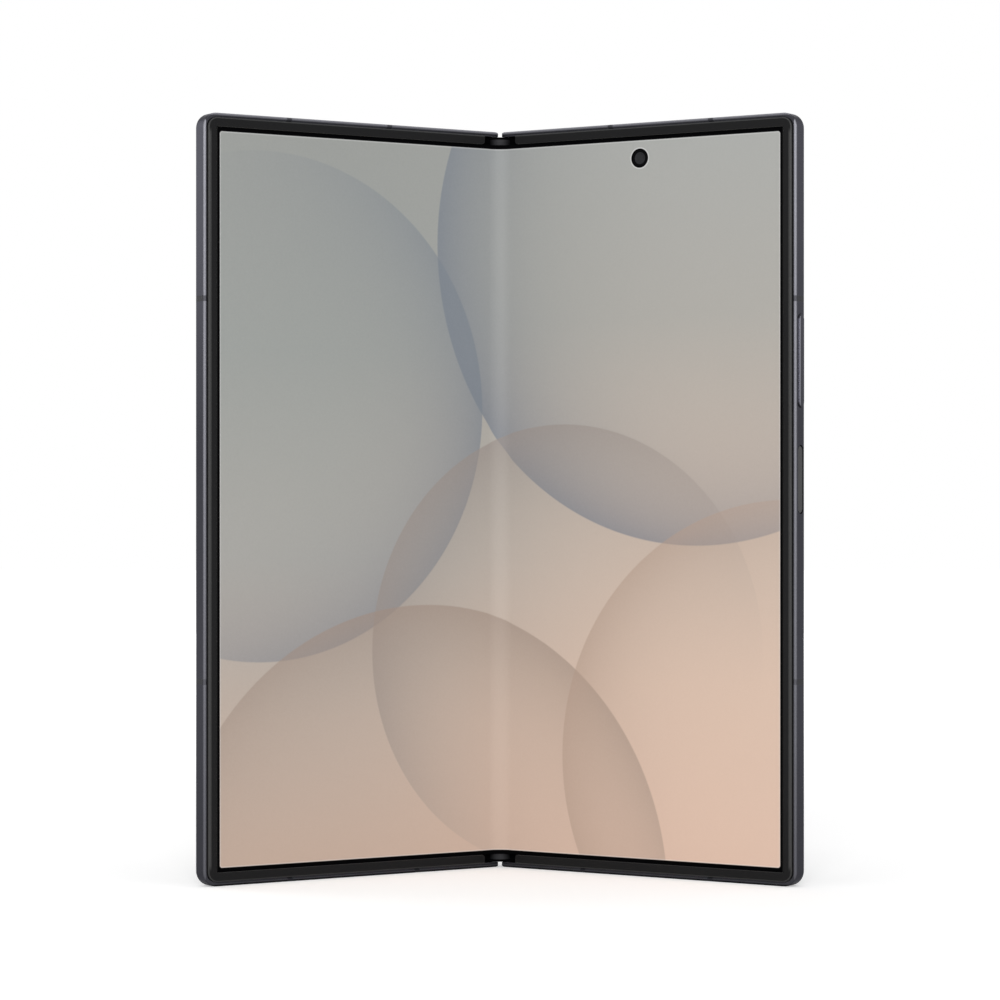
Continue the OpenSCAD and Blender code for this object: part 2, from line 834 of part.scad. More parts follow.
// swing arm: arc rail, toothed sector and the tab that the frame holds;
// shift moves the teeth by a share of a tooth, so that both sides mesh in the middle
module swing_arm(shift) {
    tab_low = tab_y - axis_y;
    translate([axis_x, axis_y, 0]) {
        bar(rail_z, rail_z + rail_w) {
            intersection() {
                difference() {
                    circle(rail_r + rail_t);
                    circle(rail_r);
                }
                polygon([
                    [0, 0],
                    [4 * cos(rail_start), 4 * sin(rail_start)],
                    [4, 6],
                    [-4, 6],
                    [4 * cos(rail_end), 4 * sin(rail_end)]
                ]);
            }
            translate([rail_r, tab_low]) square([tab_start_r - rail_r + 0.5, tab_t]);
        }
        difference() {
            bar(arm_low, arm_high)
                translate([tab_start_r + 0.1, tab_low]) square([tab_x - axis_x - tab_start_r - 0.1, tab_t]);
            for (d = arm_screw_z)
                translate([arm_screw_x - axis_x, 0, d]) rotate([-90, 0, 0]) cylinder(r = arm_shank_r, h = 2);
        }
        bar(-gear_w / 2, gear_w / 2) {
            intersection() {
                circle(sector_r - dedendum);
                union() {
                    translate([-2, 0]) square([2, 2]);
                    translate([0, hub_y]) square([2, 2]);
                }
            }
            for (i = [-1:4]) rotate(mesh_angle + (i + shift) * 360 / sector_teeth) tooth(sector_r);
            translate([0, hub_y]) square([tab_start_r + 0.1, web_y - hub_y]);
            translate([tab_start_r - 0.1, hub_y]) square([0.5, tab_low + tab_t - hub_y]);
        }
    }
}

module upper_right_arm() {
    color(steel_color) on_right() at_module(1) swing_arm(0);
}

module lower_right_arm() {
    color(steel_color) on_right() at_module(-1) swing_arm(0);
}

module upper_left_arm() {
    color(steel_color) on_left() at_module(1) mirror([0, 0, 1]) swing_arm(-0.5);
}

module lower_left_arm() {
    color(steel_color) on_left() at_module(-1) mirror([0, 0, 1]) swing_arm(-0.5);
}

// angle of an outer idler's tooth when the halves are flat, and of the inner idler that it drives
function outer_phase(shift) = mesh_angle + 180 - shift * 360 / outer_teeth + 180 / outer_teeth;
function inner_phase(shift) =
    -(outer_phase(shift) - 180) * outer_teeth / inner_teeth + 180 / inner_teeth;

// idlers of one side at the rest fold, one in each hinge module
module outer_idlers(shift) {
    placed() for (s = [-1, 1]) at_module(s) translate([outer_gear_x, gear_y, 0])
        gear(outer_teeth, outer_phase(shift) + rest_fold * sector_teeth / outer_teeth);
}

module inner_idlers(shift) {
    placed() for (s = [-1, 1]) at_module(s) translate([inner_gear_x, gear_y, 0])
        gear(inner_teeth, inner_phase(shift) - rest_fold * sector_teeth / inner_teeth);
}

module right_outer_idlers() {
    color(gold_color) outer_idlers(0);
}

module right_inner_idlers() {
    color(gold_color) inner_idlers(0);
}

module left_outer_idlers() {
    color(gold_color) mirror([1, 0, 0]) outer_idlers(-0.5);
}

module left_inner_idlers() {
    color(gold_color) mirror([1, 0, 0]) inner_idlers(-0.5);
}

// tilting plate beside the spine that lets the display curl when the phone closes
module wing_plate(flip) {
    color(steel_color)
        translate([pivot_x, pivot_y, 0])
        rotate([0, 0, -tilt_ratio * rest_fold])
        translate([-pivot_x, -pivot_y, 0])
        difference() {
            bar(-display_h + wing_end_gap, display_h - wing_end_gap) {
                translate([wing_x, wing_y]) square([pivot_x - wing_x, wing_t]);
                translate([pivot_x, pivot_y]) circle(bead_r);
            }
            for (r = arm_ranges(flip))
                block([0, 0, r[0] - 0.4], [notch_x, 2, r[1] + 0.4]);
        }
}

module right_wing_plate() {
    on_right() wing_plate(1);
}

module left_wing_plate() {
    on_left() wing_plate(-1);
}

// screws that hold the arms' tabs to the frame's rail
module arm_screws(flip) {
    color(steel_color) for (z = screw_heights(flip)) translate([arm_screw_x, tab_y, z]) rotate([-90, 0, 0]) {
        translate([0, 0, -arm_head_t]) cylinder(r = arm_head_r, h = arm_head_t);
        cylinder(r = arm_shank_r, h = arm_shank_l);
    }
}

module right_screws() {
    on_right() arm_screws(1);
}

module left_screws() {
    on_left() arm_screws(-1);
}

// magnets that keep the closed halves together
module magnets() {
    outer_x = half_w - wall_t - part_gap;
    color(steel_color) for (z = magnet_z)
        block([outer_x - magnet_size.x, floor_y, z - magnet_size.z / 2],
            [outer_x, floor_y + magnet_size.y, z + magnet_size.z / 2]);
}

module right_magnets() {
    on_right() magnets();
}

module left_magnets() {
    on_left() magnets();
}

module glass_outline() {
    face_outline(glass_x, back_lip_w + 0.02);
}

module back_glass() {
    color(dark_color) on_right() slab(glass_y, back_y) difference() {
        glass_outline();
        translate([island_x, island_z]) stadium(island_w - 3, island_h - 3);
        translate([flash_x, lens_z[0]]) circle(flash_r + part_gap);
    }
}

module camera_island() {
    color(frame_color) on_right() difference() {
        union() {
            slab(back_y, back_y + island_t - 0.3)
                translate([island_x, island_z]) stadium(island_w, island_h);
            slab(back_y + island_t - 0.3, back_y + island_t)
                translate([island_x, island_z]) stadium(island_w - 0.5, island_h - 0.5);
        }
        for (z = lens_z)
            translate([island_x, back_y - 1, z]) rotate([-90, 0, 0])
                cylinder(r = lens_r - ring_w, h = island_t + 2);
    }
}

module lens_rings() {
    color(steel_color) on_right() for (z = lens_z)
        translate([island_x, back_y + island_t, z]) rotate([-90, 0, 0]) difference() {
            union() {
                cylinder(r = lens_r, h = ring_t - 0.2);
                translate([0, 0, ring_t - 0.2]) cylinder(r1 = lens_r, r2 = lens_r - 0.25, h = 0.2);
            }
            translate([0, 0, -1]) cylinder(r = lens_r - ring_w, h = ring_t + 2);
        }
}

module lens_windows() {
    color(black_color) on_right() for (z = lens_z)
        translate([island_x, back_y + island_t + ring_t - 0.1 - window_t, z])
            rotate([-90, 0, 0]) cylinder(r = lens_r - ring_w, h = window_t);
}

// a camera: square sensor housing and a stepped barrel under its window
module rear_camera(i) {
    top_y = back_y + island_t + ring_t - 0.1 - window_t;
    s = module_size[i];
    color(dark_color) on_right() translate([island_x, 0, lens_z[i]]) {
        block([-s / 2, floor_y, -s / 2], [s / 2, glass_y, s / 2]);
        translate([0, glass_y - 0.1, 0]) rotate([-90, 0, 0]) difference() {
            union() {
                cylinder(r = barrel_r[i], h = top_y - glass_y - 0.5);
                cylinder(r = barrel_r[i] - 0.7, h = top_y - glass_y + 0.1);
            }
            translate([0, 0, top_y - glass_y - 0.4]) cylinder(r1 = 1.2, r2 = 2.2, h = 0.51);
        }
    }
}

module wide_camera() {
    rear_camera(1);
}

module ultrawide_camera() {
    rear_camera(0);
}

module tele_camera() {
    rear_camera(2);
}

module flash_window() {
    color("white") on_right() translate([flash_x, glass_y, lens_z[0]]) rotate([-90, 0, 0])
        cylinder(r = flash_r, h = glass_t);
}

module right_battery() {
    color(battery_color) on_right() block([parts_x, floor_y, right_battery_low],
        [battery_end_x, floor_y + right_battery_t, right_battery_high]);
}

module main_board() {
    color(board_color) on_right() difference() {
        block([parts_x, floor_y, board_low], [board_end_x, floor_y + board_t, board_high]);
        block([eye_x - 3.6, 0, eye_z - 3.6], [eye_x + 3.6, 5, eye_z + 8]);
    }
}

module shield_cans() {
    can_y = floor_y + board_t;
    board_w = board_end_x - parts_x;
    board_h = board_high - board_low;
    color(steel_color) on_right() {
        for (c = cans)
            block([parts_x + c[0] * board_w, can_y, board_low + c[1] * board_h],
                [parts_x + c[2] * board_w, can_y + can_t, board_low + c[3] * board_h]);
    }
}

module charging_coil() {
    color(gold_color) on_right() translate([coil_x, glass_y, coil_z]) rotate([90, 0, 0]) difference() {
        cylinder(r = coil_r, h = coil_t);
        translate([0, 0, -1]) cylinder(r = coil_r / 2, h = 3);
    }
}

// charging port: a thin shell with its tongue
module charging_port() {
    z0 = -height / 2 + wall_t + part_gap;
    color(steel_color) on_right() translate([port_x, port_y, 0]) {
        bar(z0, z0 + port_d) difference() {
            stadium(port_w + 2 * shell_t, port_h + shell_t);
            stadium(port_w - shell_t, port_h - shell_t);
        }
        bar(z0 + port_d - 0.6, z0 + port_d) stadium(port_w, port_h);
        block([-tongue_w / 2, -tongue_t / 2, z0 + 1], [tongue_w / 2, tongue_t / 2, z0 + port_d - 0.3]);
    }
}

module bottom_speaker() {
    color(dark_color) on_right()
        block([speaker_x, floor_y, -parts_h + part_gap],
            [speaker_end_x, floor_y + speaker_t, -parts_h + speaker_h]);
}

module inner_camera() {
    color(dark_color) on_right() {
        block([eye_x - 3.2, floor_y, eye_z - 3.2], [eye_x + 3.2, floor_y + 2, eye_z + 3.2]);
        translate([eye_x, floor_y + 0.1, eye_z]) rotate([90, 0, 0]) difference() {
            cylinder(r = eye_r - 0.1, h = floor_y);
            translate([0, 0, floor_y - 0.35]) cylinder(r1 = 0.5, r2 = 1.1, h = 0.36);
        }
    }
}

// strip behind the keys with its pressure domes
module key_switches() {
    dome_top_x = rock_x - key_travel - part_gap;
    color(gold_color) on_right() {
        block([dome_top_x - dome_t - strip_t, floor_y, side_z - 8],
            [dome_top_x - dome_t, key_y + 1, volume_z + 10]);
        for (z = [side_z, volume_z - 6, volume_z + 6])
            translate([dome_top_x - dome_t, key_y, z]) rotate([0, 90, 0])
                cylinder(r1 = dome_r, r2 = dome_r - 0.35, h = dome_t);
        // rest on which the volume key rocks
        block([dome_top_x - dome_t, key_y - rock_bead_h / 2, volume_z - rock_bead_r],
            [rock_x - rock_bead_r - part_gap / 2, key_y + rock_bead_h / 2, volume_z + rock_bead_r]);
    }
}

// a key with a rounded outline and the flange that keeps it in its slot
module key_cap(length, proud) {
    top_x = half_w + proud;
    inner_x = half_w - wall_t - rock_gap;
    flange_h = 2 * (key_y - floor_y - part_gap);
    rotate([0, 90, 0]) {
        translate([0, 0, inner_x]) linear_extrude(top_x - inner_x - 0.15) stadium(length, key_w);
        translate([0, 0, top_x - 0.15]) linear_extrude(0.15) stadium(length - 0.3, key_w - 0.3);
        translate([0, 0, inner_x - flange_t]) linear_extrude(flange_t)
            stadium(length + flange_over, flange_h);
    }
}

module volume_key() {
    color(frame_color) on_right() translate([0, key_y, volume_z]) {
        key_cap(volume_l, volume_proud);
        translate([rock_x, -rock_bead_h / 2, 0]) rotate([-90, 0, 0])
            cylinder(r = rock_bead_r, h = rock_bead_h);
    }
}

module side_key() {
    color(dark_color) on_right() translate([0, key_y, side_z]) key_cap(side_l, -0.1);
}

module cover_glass() {
    color(black_color) on_left() slab(glass_y, back_y) glass_outline();
}

module cover_display() {
    color(dark_color) on_left() slab(glass_y - cover_display_t, glass_y) difference() {
        translate([(glass_x + half_w) / 2 + 2.2, 0])
            rounded(half_w - glass_x - 9, height - 2 * wall_t - 2.4, 2.5);
        translate([cover_eye_x, cover_eye_z]) circle(cover_eye_r);
    }
}

module cover_camera() {
    color(dark_color) on_left() translate([cover_eye_x, 0, cover_eye_z]) {
        block([-2.9, floor_y, -2.9], [2.9, glass_y - cover_display_t - part_gap, 2.9]);
        translate([0, floor_y + 0.5, 0]) rotate([-90, 0, 0])
            cylinder(r = cover_eye_r - 0.1, h = glass_y - floor_y - 0.5);
    }
}

module left_battery() {
    color(battery_color) on_left() block([parts_x, floor_y, left_battery_low],
        [battery_end_x, floor_y + left_battery_t, left_battery_high]);
}

module second_board() {
    color(board_color) on_left() difference() {
        block([parts_x, floor_y, second_low], [battery_end_x, floor_y + board_t, second_high]);
        block([cover_eye_x + second_gap, 0, second_high - second_notch[1]],
            [cover_eye_x + second_gap + second_notch[0], back_y, height]);
    }
}

module top_speaker() {
    color(dark_color) on_left()
        block([top_speaker_x, floor_y, parts_h - top_speaker_h],
            [top_speaker_x + top_speaker_w, floor_y + top_speaker_t, parts_h - part_gap]);
}

module vibration_motor() {
    color(steel_color) on_left() translate([parts_x + 1, floor_y, motor_low]) cube(motor_size);
}

// open-mouthed box that guides the card tray
module card_cage() {
    z0 = -height / 2 + wall_t + part_gap;
    z1 = -height / 2 + tray_l + 0.9;
    color(steel_color) on_left() difference() {
        block([tray_x - tray_w / 2 - 0.4, floor_y, z0],
            [tray_x + tray_w / 2 + 0.4, tray_y + tray_t / 2 + 0.35, z1]);
        block([tray_x - tray_w / 2 - 0.1, tray_y - tray_t / 2 - 0.1, z0 - 1],
            [tray_x + tray_w / 2 + 0.1, tray_y + tray_t / 2 + 0.1, z1 - 0.2]);
    }
}

module card_tray() {
    z0 = -height / 2 + 0.02;
    color(frame_color) on_left() difference() {
        union() {
            translate([tray_x, tray_y, z0]) linear_extrude(tray_face_t) stadium(tray_face_w, tray_face_h);
            block([tray_x - tray_w / 2, tray_y - tray_t / 2, z0 + 0.5],
                [tray_x + tray_w / 2, tray_y + tray_t / 2, z0 + tray_l]);
        }
        block([tray_x - 4.4, 0, z0 + 4], [tray_x + 4.4, 5, z0 + tray_l - 2]);
        translate([tray_x + 5.9, tray_y, z0 - 1]) cylinder(r = 0.45, h = 1.6);
    }
}

spine_cover();
spine_end_caps();
spine_support_bar();
hinge_base_upper();
hinge_base_lower();
idler_pins();
spine_screws();
fold_display();
right_outer_idlers();
right_inner_idlers();
left_outer_idlers();
left_inner_idlers();
right_frame();
right_antenna_bands();
right_bezel();
right_display();
right_display_plate();
upper_right_arm();
lower_right_arm();
right_wing_plate();
right_screws();
right_magnets();
left_frame();
left_antenna_bands();
left_bezel();
left_display();
left_display_plate();
upper_left_arm();
lower_left_arm();
left_wing_plate();
left_screws();
left_magnets();
back_glass();
camera_island();
lens_rings();
lens_windows();
wide_camera();
ultrawide_camera();
tele_camera();
flash_window();
right_battery();
main_board();
shield_cans();
charging_coil();
charging_port();
bottom_speaker();
inner_camera();
key_switches();
volume_key();
side_key();
cover_glass();
cover_display();
cover_camera();
left_battery();
second_board();
top_speaker();
vibration_motor();
card_cage();
card_tray();
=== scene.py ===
# %% [markdown]
# A folding phone that stands half open like a book is dressed here for the camera.
# Its solids come from a CAD model and keep their places: the metal frames, the bezels, the hinge
# and the cameras get finishes, and the folding display is made anew, because a solid cannot bend.
# Everything is in metres, with +Z up along the fold and -Y towards the viewer.

# %% Load the solids
import json
import math
import bmesh
import bpy
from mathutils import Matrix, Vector


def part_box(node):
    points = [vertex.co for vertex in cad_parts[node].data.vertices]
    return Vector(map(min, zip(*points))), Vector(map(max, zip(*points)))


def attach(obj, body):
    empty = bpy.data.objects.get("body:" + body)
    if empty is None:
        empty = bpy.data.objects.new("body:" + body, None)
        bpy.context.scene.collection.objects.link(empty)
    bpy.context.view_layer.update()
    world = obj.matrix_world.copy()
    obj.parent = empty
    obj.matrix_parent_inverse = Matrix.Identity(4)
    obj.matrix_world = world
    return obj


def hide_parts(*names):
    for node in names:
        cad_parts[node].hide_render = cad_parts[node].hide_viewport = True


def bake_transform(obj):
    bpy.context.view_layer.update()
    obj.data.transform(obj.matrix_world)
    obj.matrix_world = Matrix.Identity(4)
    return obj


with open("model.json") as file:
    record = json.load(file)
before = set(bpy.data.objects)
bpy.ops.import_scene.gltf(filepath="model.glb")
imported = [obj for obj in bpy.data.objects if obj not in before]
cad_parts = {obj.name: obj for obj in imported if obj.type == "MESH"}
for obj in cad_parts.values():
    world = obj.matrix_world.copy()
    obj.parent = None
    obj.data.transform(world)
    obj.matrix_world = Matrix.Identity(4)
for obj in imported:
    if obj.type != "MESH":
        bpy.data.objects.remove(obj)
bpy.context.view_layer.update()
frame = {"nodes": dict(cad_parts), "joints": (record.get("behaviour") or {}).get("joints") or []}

print("solids loaded:", len(frame["nodes"]))

# %% [markdown]
# The fold of a book-style phone has two axes, one for each half, just behind the display.
# Their places are read from the joints, and the flat shape of a half is found by turning its
# solids back about its axis. The numbers could be typed in from the drawing instead, but
# measuring the solids keeps the display and the finishes right when a size changes.

# %% Measure the fold
REST_FOLD = math.radians(32)
DISPLAY_THICKNESS = 0.0004
joints = {joint["name"]: joint for joint in frame["joints"]}
axis_x, axis_depth, middle_z = joints["right_fold"]["pos_m"]


def unfolded(point):
    """Where a point of the right half lies, from its axis, once the half is flat."""
    along, back = point[0] - axis_x, point[1] - axis_depth
    return (along * math.cos(REST_FOLD) - back * math.sin(REST_FOLD),
            along * math.sin(REST_FOLD) + back * math.cos(REST_FOLD))


def flat_points(name):
    """The corners of a solid of the right half, from its axis, once the half is flat."""
    return [(*unfolded(v.co), v.co.z) for v in frame["nodes"][name].data.vertices]


panel = flat_points("right_display")
axis_behind = -min(p[1] for p in panel)
display_edge_x = axis_x + max(p[0] for p in panel)
panel_start_x = axis_x + min(p[0] for p in panel)
display_half_z = (max(p[2] for p in panel) - min(p[2] for p in panel)) / 2
free_side = axis_x + max(p[0] for p in flat_points("right_frame"))
bezel_face, key_face = [axis_behind + min(p[1] for p in flat_points(name))
                        for name in ("right_bezel", "volume_key")]
print("display reaches", round(display_edge_x * 1000, 2), "mm from the fold")


# %% [markdown]
# On its panels the display turns with the halves, and its middle stays with the spine. Turning
# each point of the bend about the axis by its own share of the fold keeps the open display flat,
# but leaves a sharp bend here; an even arc between the panels looks best here, but would leave
# a ridge in the open display. Each point lies halfway between the two, so neither shows much.

# %% Place a point of the display
BEND_END = 0.0036
SHARE_ROUNDS = 60


def turned(along, depth, share):
    """Where a point of the flat right half comes to lie when it takes a share of the fold."""
    angle = REST_FOLD * share
    out, back = along - axis_x, depth - axis_behind
    return (axis_x + out * math.cos(angle) + back * math.sin(angle),
            axis_depth - out * math.sin(angle) + back * math.cos(angle))


bend_from, bend_to = turned(0, 0, 0), turned(BEND_END, 0, 1)
surface_y = bend_from[1]
bend_run = (bend_to[0] - bend_from[0], bend_to[1] - bend_from[1])
kink_x = bend_to[0] - (surface_y - bend_to[1]) / math.tan(REST_FOLD)
arc_radius = kink_x / math.tan(REST_FOLD / 2)
straight = math.dist(bend_to, (kink_x, surface_y)) - kink_x
arc_share = arc_radius * REST_FOLD / (arc_radius * REST_FOLD + straight)


def on_arc(along, depth):
    """A point of the bend, on an even arc and the straight piece between it and the panel."""
    way = along / BEND_END
    if way < arc_share:
        turn = REST_FOLD * way / arc_share
        return ((arc_radius + depth) * math.sin(turn),
                surface_y - arc_radius + (arc_radius + depth) * math.cos(turn))
    panel_end = turned(BEND_END, depth, 1)
    back = straight * (1 - way) / (1 - arc_share)
    return (panel_end[0] - back * math.cos(REST_FOLD), panel_end[1] + back * math.sin(REST_FOLD))


def folded(along, depth):
    """The rest place, seen from above, of a point of the display's right half."""
    if along >= BEND_END:
        return turned(along, depth, 1)
    share = 0.0
    for _ in range(SHARE_ROUNDS):
        place = turned(along, depth, share)
        way = sum((p - a) * r for p, a, r in zip(place, bend_from, bend_run))
        way = min(1.0, max(0.0, way / sum(r * r for r in bend_run)))
        share = (share + way * way * (3 - 2 * way)) / 2
    return tuple((p + q) / 2 for p, q in zip(turned(along, depth, share), on_arc(along, depth)))


print("radius of the arc:", round(arc_radius * 1000, 2), "mm")


# %% [markdown]
# Each half of the display is one closed sheet: a bending strip in narrow columns, so that it
# rolls smoothly, and a flat panel with round corners. The panel of the right half has a hole for
# the camera behind it. A boolean would do it too, but filling between two loops of edges
# gives a clean face at once. The texture coordinates are the unfolded places.

# %% Outline of a display panel
CORNER_RADIUS = 0.0005
CORNER_STEPS = 8
STRIP_COLUMNS = 32
WIDE_COLUMNS = [0.0048, 0.0064]
PICTURE_WIDTH = 0.16


def panel_outline():
    """The panel's edge from the seam's lower end round to its upper end."""
    points = [(panel_start_x, -display_half_z)]
    for upper in (False, True):
        for step in range(CORNER_STEPS + 1):
            turn = math.radians((0 if upper else -90) + 90 * step / CORNER_STEPS)
            centre_z = (display_half_z - CORNER_RADIUS) * (1 if upper else -1)
            points.append((display_edge_x - CORNER_RADIUS + CORNER_RADIUS * math.cos(turn),
                           centre_z + CORNER_RADIUS * math.sin(turn)))
    return points + [(panel_start_x, display_half_z)]


strip_columns = [BEND_END * i / STRIP_COLUMNS for i in range(STRIP_COLUMNS + 1)]
strip_columns += WIDE_COLUMNS
print("columns in the bending strip:", len(strip_columns))

# %% [markdown]
# The camera behind the display shows through a round hole. Its place and size are read from the
# lens barrel of the camera's solid, so the hole always lies round the barrel.

# %% Measure the camera's hole
RIM_DEPTH = 0.00005
HOLE_GAP = 0.0001
HOLE_STEPS = 64
barrel = flat_points("inner_camera")
barrel_front = min(p[1] for p in barrel)
barrel_rim = [p for p in barrel if p[1] < barrel_front + RIM_DEPTH]
eye_x = axis_x + (max(p[0] for p in barrel_rim) + min(p[0] for p in barrel_rim)) / 2
eye_z = (max(p[2] for p in barrel_rim) + min(p[2] for p in barrel_rim)) / 2
eye_radius = (max(p[2] for p in barrel_rim) - min(p[2] for p in barrel_rim)) / 2
print("camera hole at", round(eye_x * 1000, 1), "mm, radius", round(eye_radius * 1000, 2), "mm")


# %% [markdown]
# The bend is a little steeper in some places than in others, and its glossy film would show that
# as dark lines. The points could be spread more evenly, but then the open display would keep a
# higher ridge. Custom normals help without moving a point: they turn evenly over the bend.

# %% Even out the light on the bend
SAME_PLACE = 0.00001


def even_roll(mesh, side):
    """Lets the front of the bend reflect light as one even roll; other normals stay automatic."""
    places = [tuple(item.vector) for item in mesh.attributes["flat_place"].data]
    normals = []
    for face in mesh.polygons:
        corners = [places[i] for i in face.vertices]
        rolls = all(depth == 0 and abs(along) <= WIDE_COLUMNS[-1] + SAME_PLACE
                    for along, _, depth in corners)
        for along, _, _ in corners:
            way = min(1.0, abs(along) / BEND_END)
            turn = REST_FOLD * way * way * (3 - 2 * way)
            normals.append((-side * math.sin(turn), -math.cos(turn), 0.0) if rolls else (0, 0, 0))
    mesh.normals_split_custom_set(normals)


def put_in_scene(name, bm, sharp_angle):
    """Makes an object of a bmesh; edges that turn by more than the angle stay sharp."""
    mesh = bpy.data.meshes.new(name)
    bm.to_mesh(mesh)
    bm.free()
    mesh.set_sharp_from_angle(angle=sharp_angle)
    piece = bpy.data.objects.new(name, mesh)
    bpy.context.collection.objects.link(piece)
    return piece


print("normals turn evenly up to", BEND_END * 1000, "mm from the fold")


# %% [markdown]
# The sheet is built with bmesh, front and back together, and walls close its edges.

# %% Build half of the display
SHEET_SHARP = math.radians(35)


def make_sheet(name, side, hole):
    """One half of the folding display; side is 1 on the right and -1 on the left."""
    bm = bmesh.new()
    flat_place = bm.verts.layers.float_vector.new("flat_place")

    def corner(along, depth, z):
        x, y = folded(along, depth)
        vert = bm.verts.new((side * x, y, z))
        vert[flat_place] = (side * along, z - middle_z, depth)
        return vert

    layers = []
    for depth in (0.0, DISPLAY_THICKNESS):
        columns = [[corner(x, depth, middle_z + s * display_half_z) for s in (-1, 1)]
                   for x in strip_columns]
        rim = [corner(x, depth, middle_z + z) for x, z in panel_outline()]
        columns.append([rim[0], rim[-1]])
        for left, right in zip(columns, columns[1:]):
            bm.faces.new((left[0], right[0], right[1], left[1]))
        border = [bm.edges.get((rim[0], rim[-1]))]
        border += [bm.edges.new(pair) for pair in zip(rim, rim[1:])]
        eye = []
        if hole:
            for step in range(HOLE_STEPS):
                turn = 2 * math.pi * step / HOLE_STEPS
                eye.append(corner(eye_x + (eye_radius + HOLE_GAP) * math.cos(turn), depth,
                                  eye_z + (eye_radius + HOLE_GAP) * math.sin(turn)))
            border += [bm.edges.new(pair) for pair in zip(eye, eye[1:] + eye[:1])]
        bmesh.ops.triangle_fill(bm, use_beauty=True, use_dissolve=False, edges=border)
        ring = [c[0] for c in columns[:-1]] + rim + [c[1] for c in columns[-2::-1]]
        layers.append((ring, eye))
    for front, back in zip(*layers):
        for i in range(len(front)):
            j = (i + 1) % len(front)
            bm.faces.new((front[i], front[j], back[j], back[i]))
    bmesh.ops.recalc_face_normals(bm, faces=bm.faces)
    uv = bm.loops.layers.uv.new("unfolded")
    for face in bm.faces:
        face.smooth = True
        for loop in face.loops:
            across, up, _ = loop.vert[flat_place]
            loop[uv].uv = (across / PICTURE_WIDTH + 0.5, up / PICTURE_WIDTH + 0.5)
    piece = put_in_scene(name, bm, SHEET_SHARP)
    even_roll(piece.data, side)
    return piece


right_sheet = make_sheet("right_display_sheet", 1, hole=True)
left_sheet = make_sheet("left_display_sheet", -1, hole=False)
for sheet, body, side in ((right_sheet, "right_half", 1), (left_sheet, "left_half", -1)):
    side * bend_from[0]
    side * bend_to[0]
    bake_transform(sheet)
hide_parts("right_display", "fold_display")
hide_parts("left_display")
print("display sheets:", [len(s.data.polygons) for s in (right_sheet, left_sheet)], "faces")


# %% [markdown]
# Behind each rear window sit a black mask with a round opening, a stepped baffle and the front
# lens. Each could be a piece of its own, but turning one profile round the window's axis gives
# all of it as one closed body, as on a lathe, with a material number for each zone.

# %% Turned camera parts
TURN_STEPS = 72
DOME_STEPS = 6
TURNED_SHARP = math.radians(30)


def turn_profile(name, centres, profile, zones):
    """Closed turned bodies on the right half.

    profile lists (radius, depth) from the axis out and back to the axis; zones gives the material
    number of each of its strips."""
    bm = bmesh.new()
    for centre_x, centre_z in centres:
        rings = []
        for radius, depth in profile:
            ring = []
            for step in range(TURN_STEPS if radius else 1):
                turn = 2 * math.pi * step / TURN_STEPS
                x, y = turned(centre_x + radius * math.cos(turn), depth, 1)
                ring.append(bm.verts.new((x, y, centre_z + radius * math.sin(turn))))
            rings.append(ring)
        for zone, inner, outer in zip(zones, rings, rings[1:]):
            for i in range(TURN_STEPS):
                j = (i + 1) % TURN_STEPS
                corners = [inner[i % len(inner)], outer[i % len(outer)],
                           outer[j % len(outer)], inner[j % len(inner)]]
                face = bm.faces.new(list(dict.fromkeys(corners)))
                face.smooth, face.material_index = True, zone
    bmesh.ops.recalc_face_normals(bm, faces=bm.faces)
    piece = put_in_scene(name, bm, TURNED_SHARP)
    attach(piece, "right_half")
    return piece


def dome(radius, edge_depth, rise):
    """The points of a shallow dome from its middle to its edge."""
    return [(radius * i / DOME_STEPS, edge_depth + rise * (1 - (i / DOME_STEPS) ** 2))
            for i in range(DOME_STEPS + 1)]


print("steps round a turned part:", TURN_STEPS)

# %% [markdown]
# The rear lenses lie 0.3 mm behind their windows' faces, and the baffle comes forward to the
# mask in two steps. The inner camera has only a small lens in front of its barrel. Plain discs
# would do from afar, but the steps give the lens its dark ring and its small highlights.

# %% The lenses
LENS_RADIUS, LENS_DEPTH, LENS_RISE = 0.0019, 0.0003, 0.00012
LENS, BAFFLE, GLASS = 0, 1, 2
BAFFLE_STEPS = [(0.0023, 0.0003), (0.0024, 0.0002), (0.0027, 0.0002), (0.0029, 0.00004),
                (0.0031, 0.0)]
window = flat_points("lens_windows")
window_out = axis_behind + max(p[1] for p in window)
window_in = axis_behind + min(p[1] for p in window)
window_x = axis_x + (max(p[0] for p in window) + min(p[0] for p in window)) / 2
window_r = (max(p[0] for p in window) - min(p[0] for p in window)) / 2
window_low = min(p[2] for p in window) + window_r
window_high = max(p[2] for p in window) - window_r
window_centres = [(window_x, window_low + (window_high - window_low) * i / 2) for i in range(3)]
print("rear windows:", len(window_centres), "of radius", round(window_r * 1000, 2), "mm")
lens_profile = dome(LENS_RADIUS, window_out - LENS_DEPTH, LENS_RISE)
lens_profile += [(radius, window_out - depth) for radius, depth in BAFFLE_STEPS]
lens_profile += [(window_r, window_out), (window_r, window_in), (0.0, window_in)]
lens_zones = [LENS] * DOME_STEPS + [BAFFLE] * 4 + [GLASS] * 4
rear_lenses = turn_profile("rear_lenses", window_centres, lens_profile, lens_zones)
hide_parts("lens_windows")
EYE_LENS_RADIUS, EYE_LENS_EDGE, EYE_LENS_RISE = 0.00085, 0.00012, 0.00008
EYE_LENS_WALL, EYE_LENS_BACK = 0.00018, 0.00034
eye_front = axis_behind + barrel_front
eye_profile = dome(EYE_LENS_RADIUS, eye_front + EYE_LENS_EDGE, -EYE_LENS_RISE)
eye_profile += [(EYE_LENS_RADIUS, eye_front + EYE_LENS_WALL), (0.0, eye_front + EYE_LENS_BACK)]
eye_lens = turn_profile("inner_lens", [(eye_x, eye_z)], eye_profile,
                        [LENS] * (DOME_STEPS + 2))
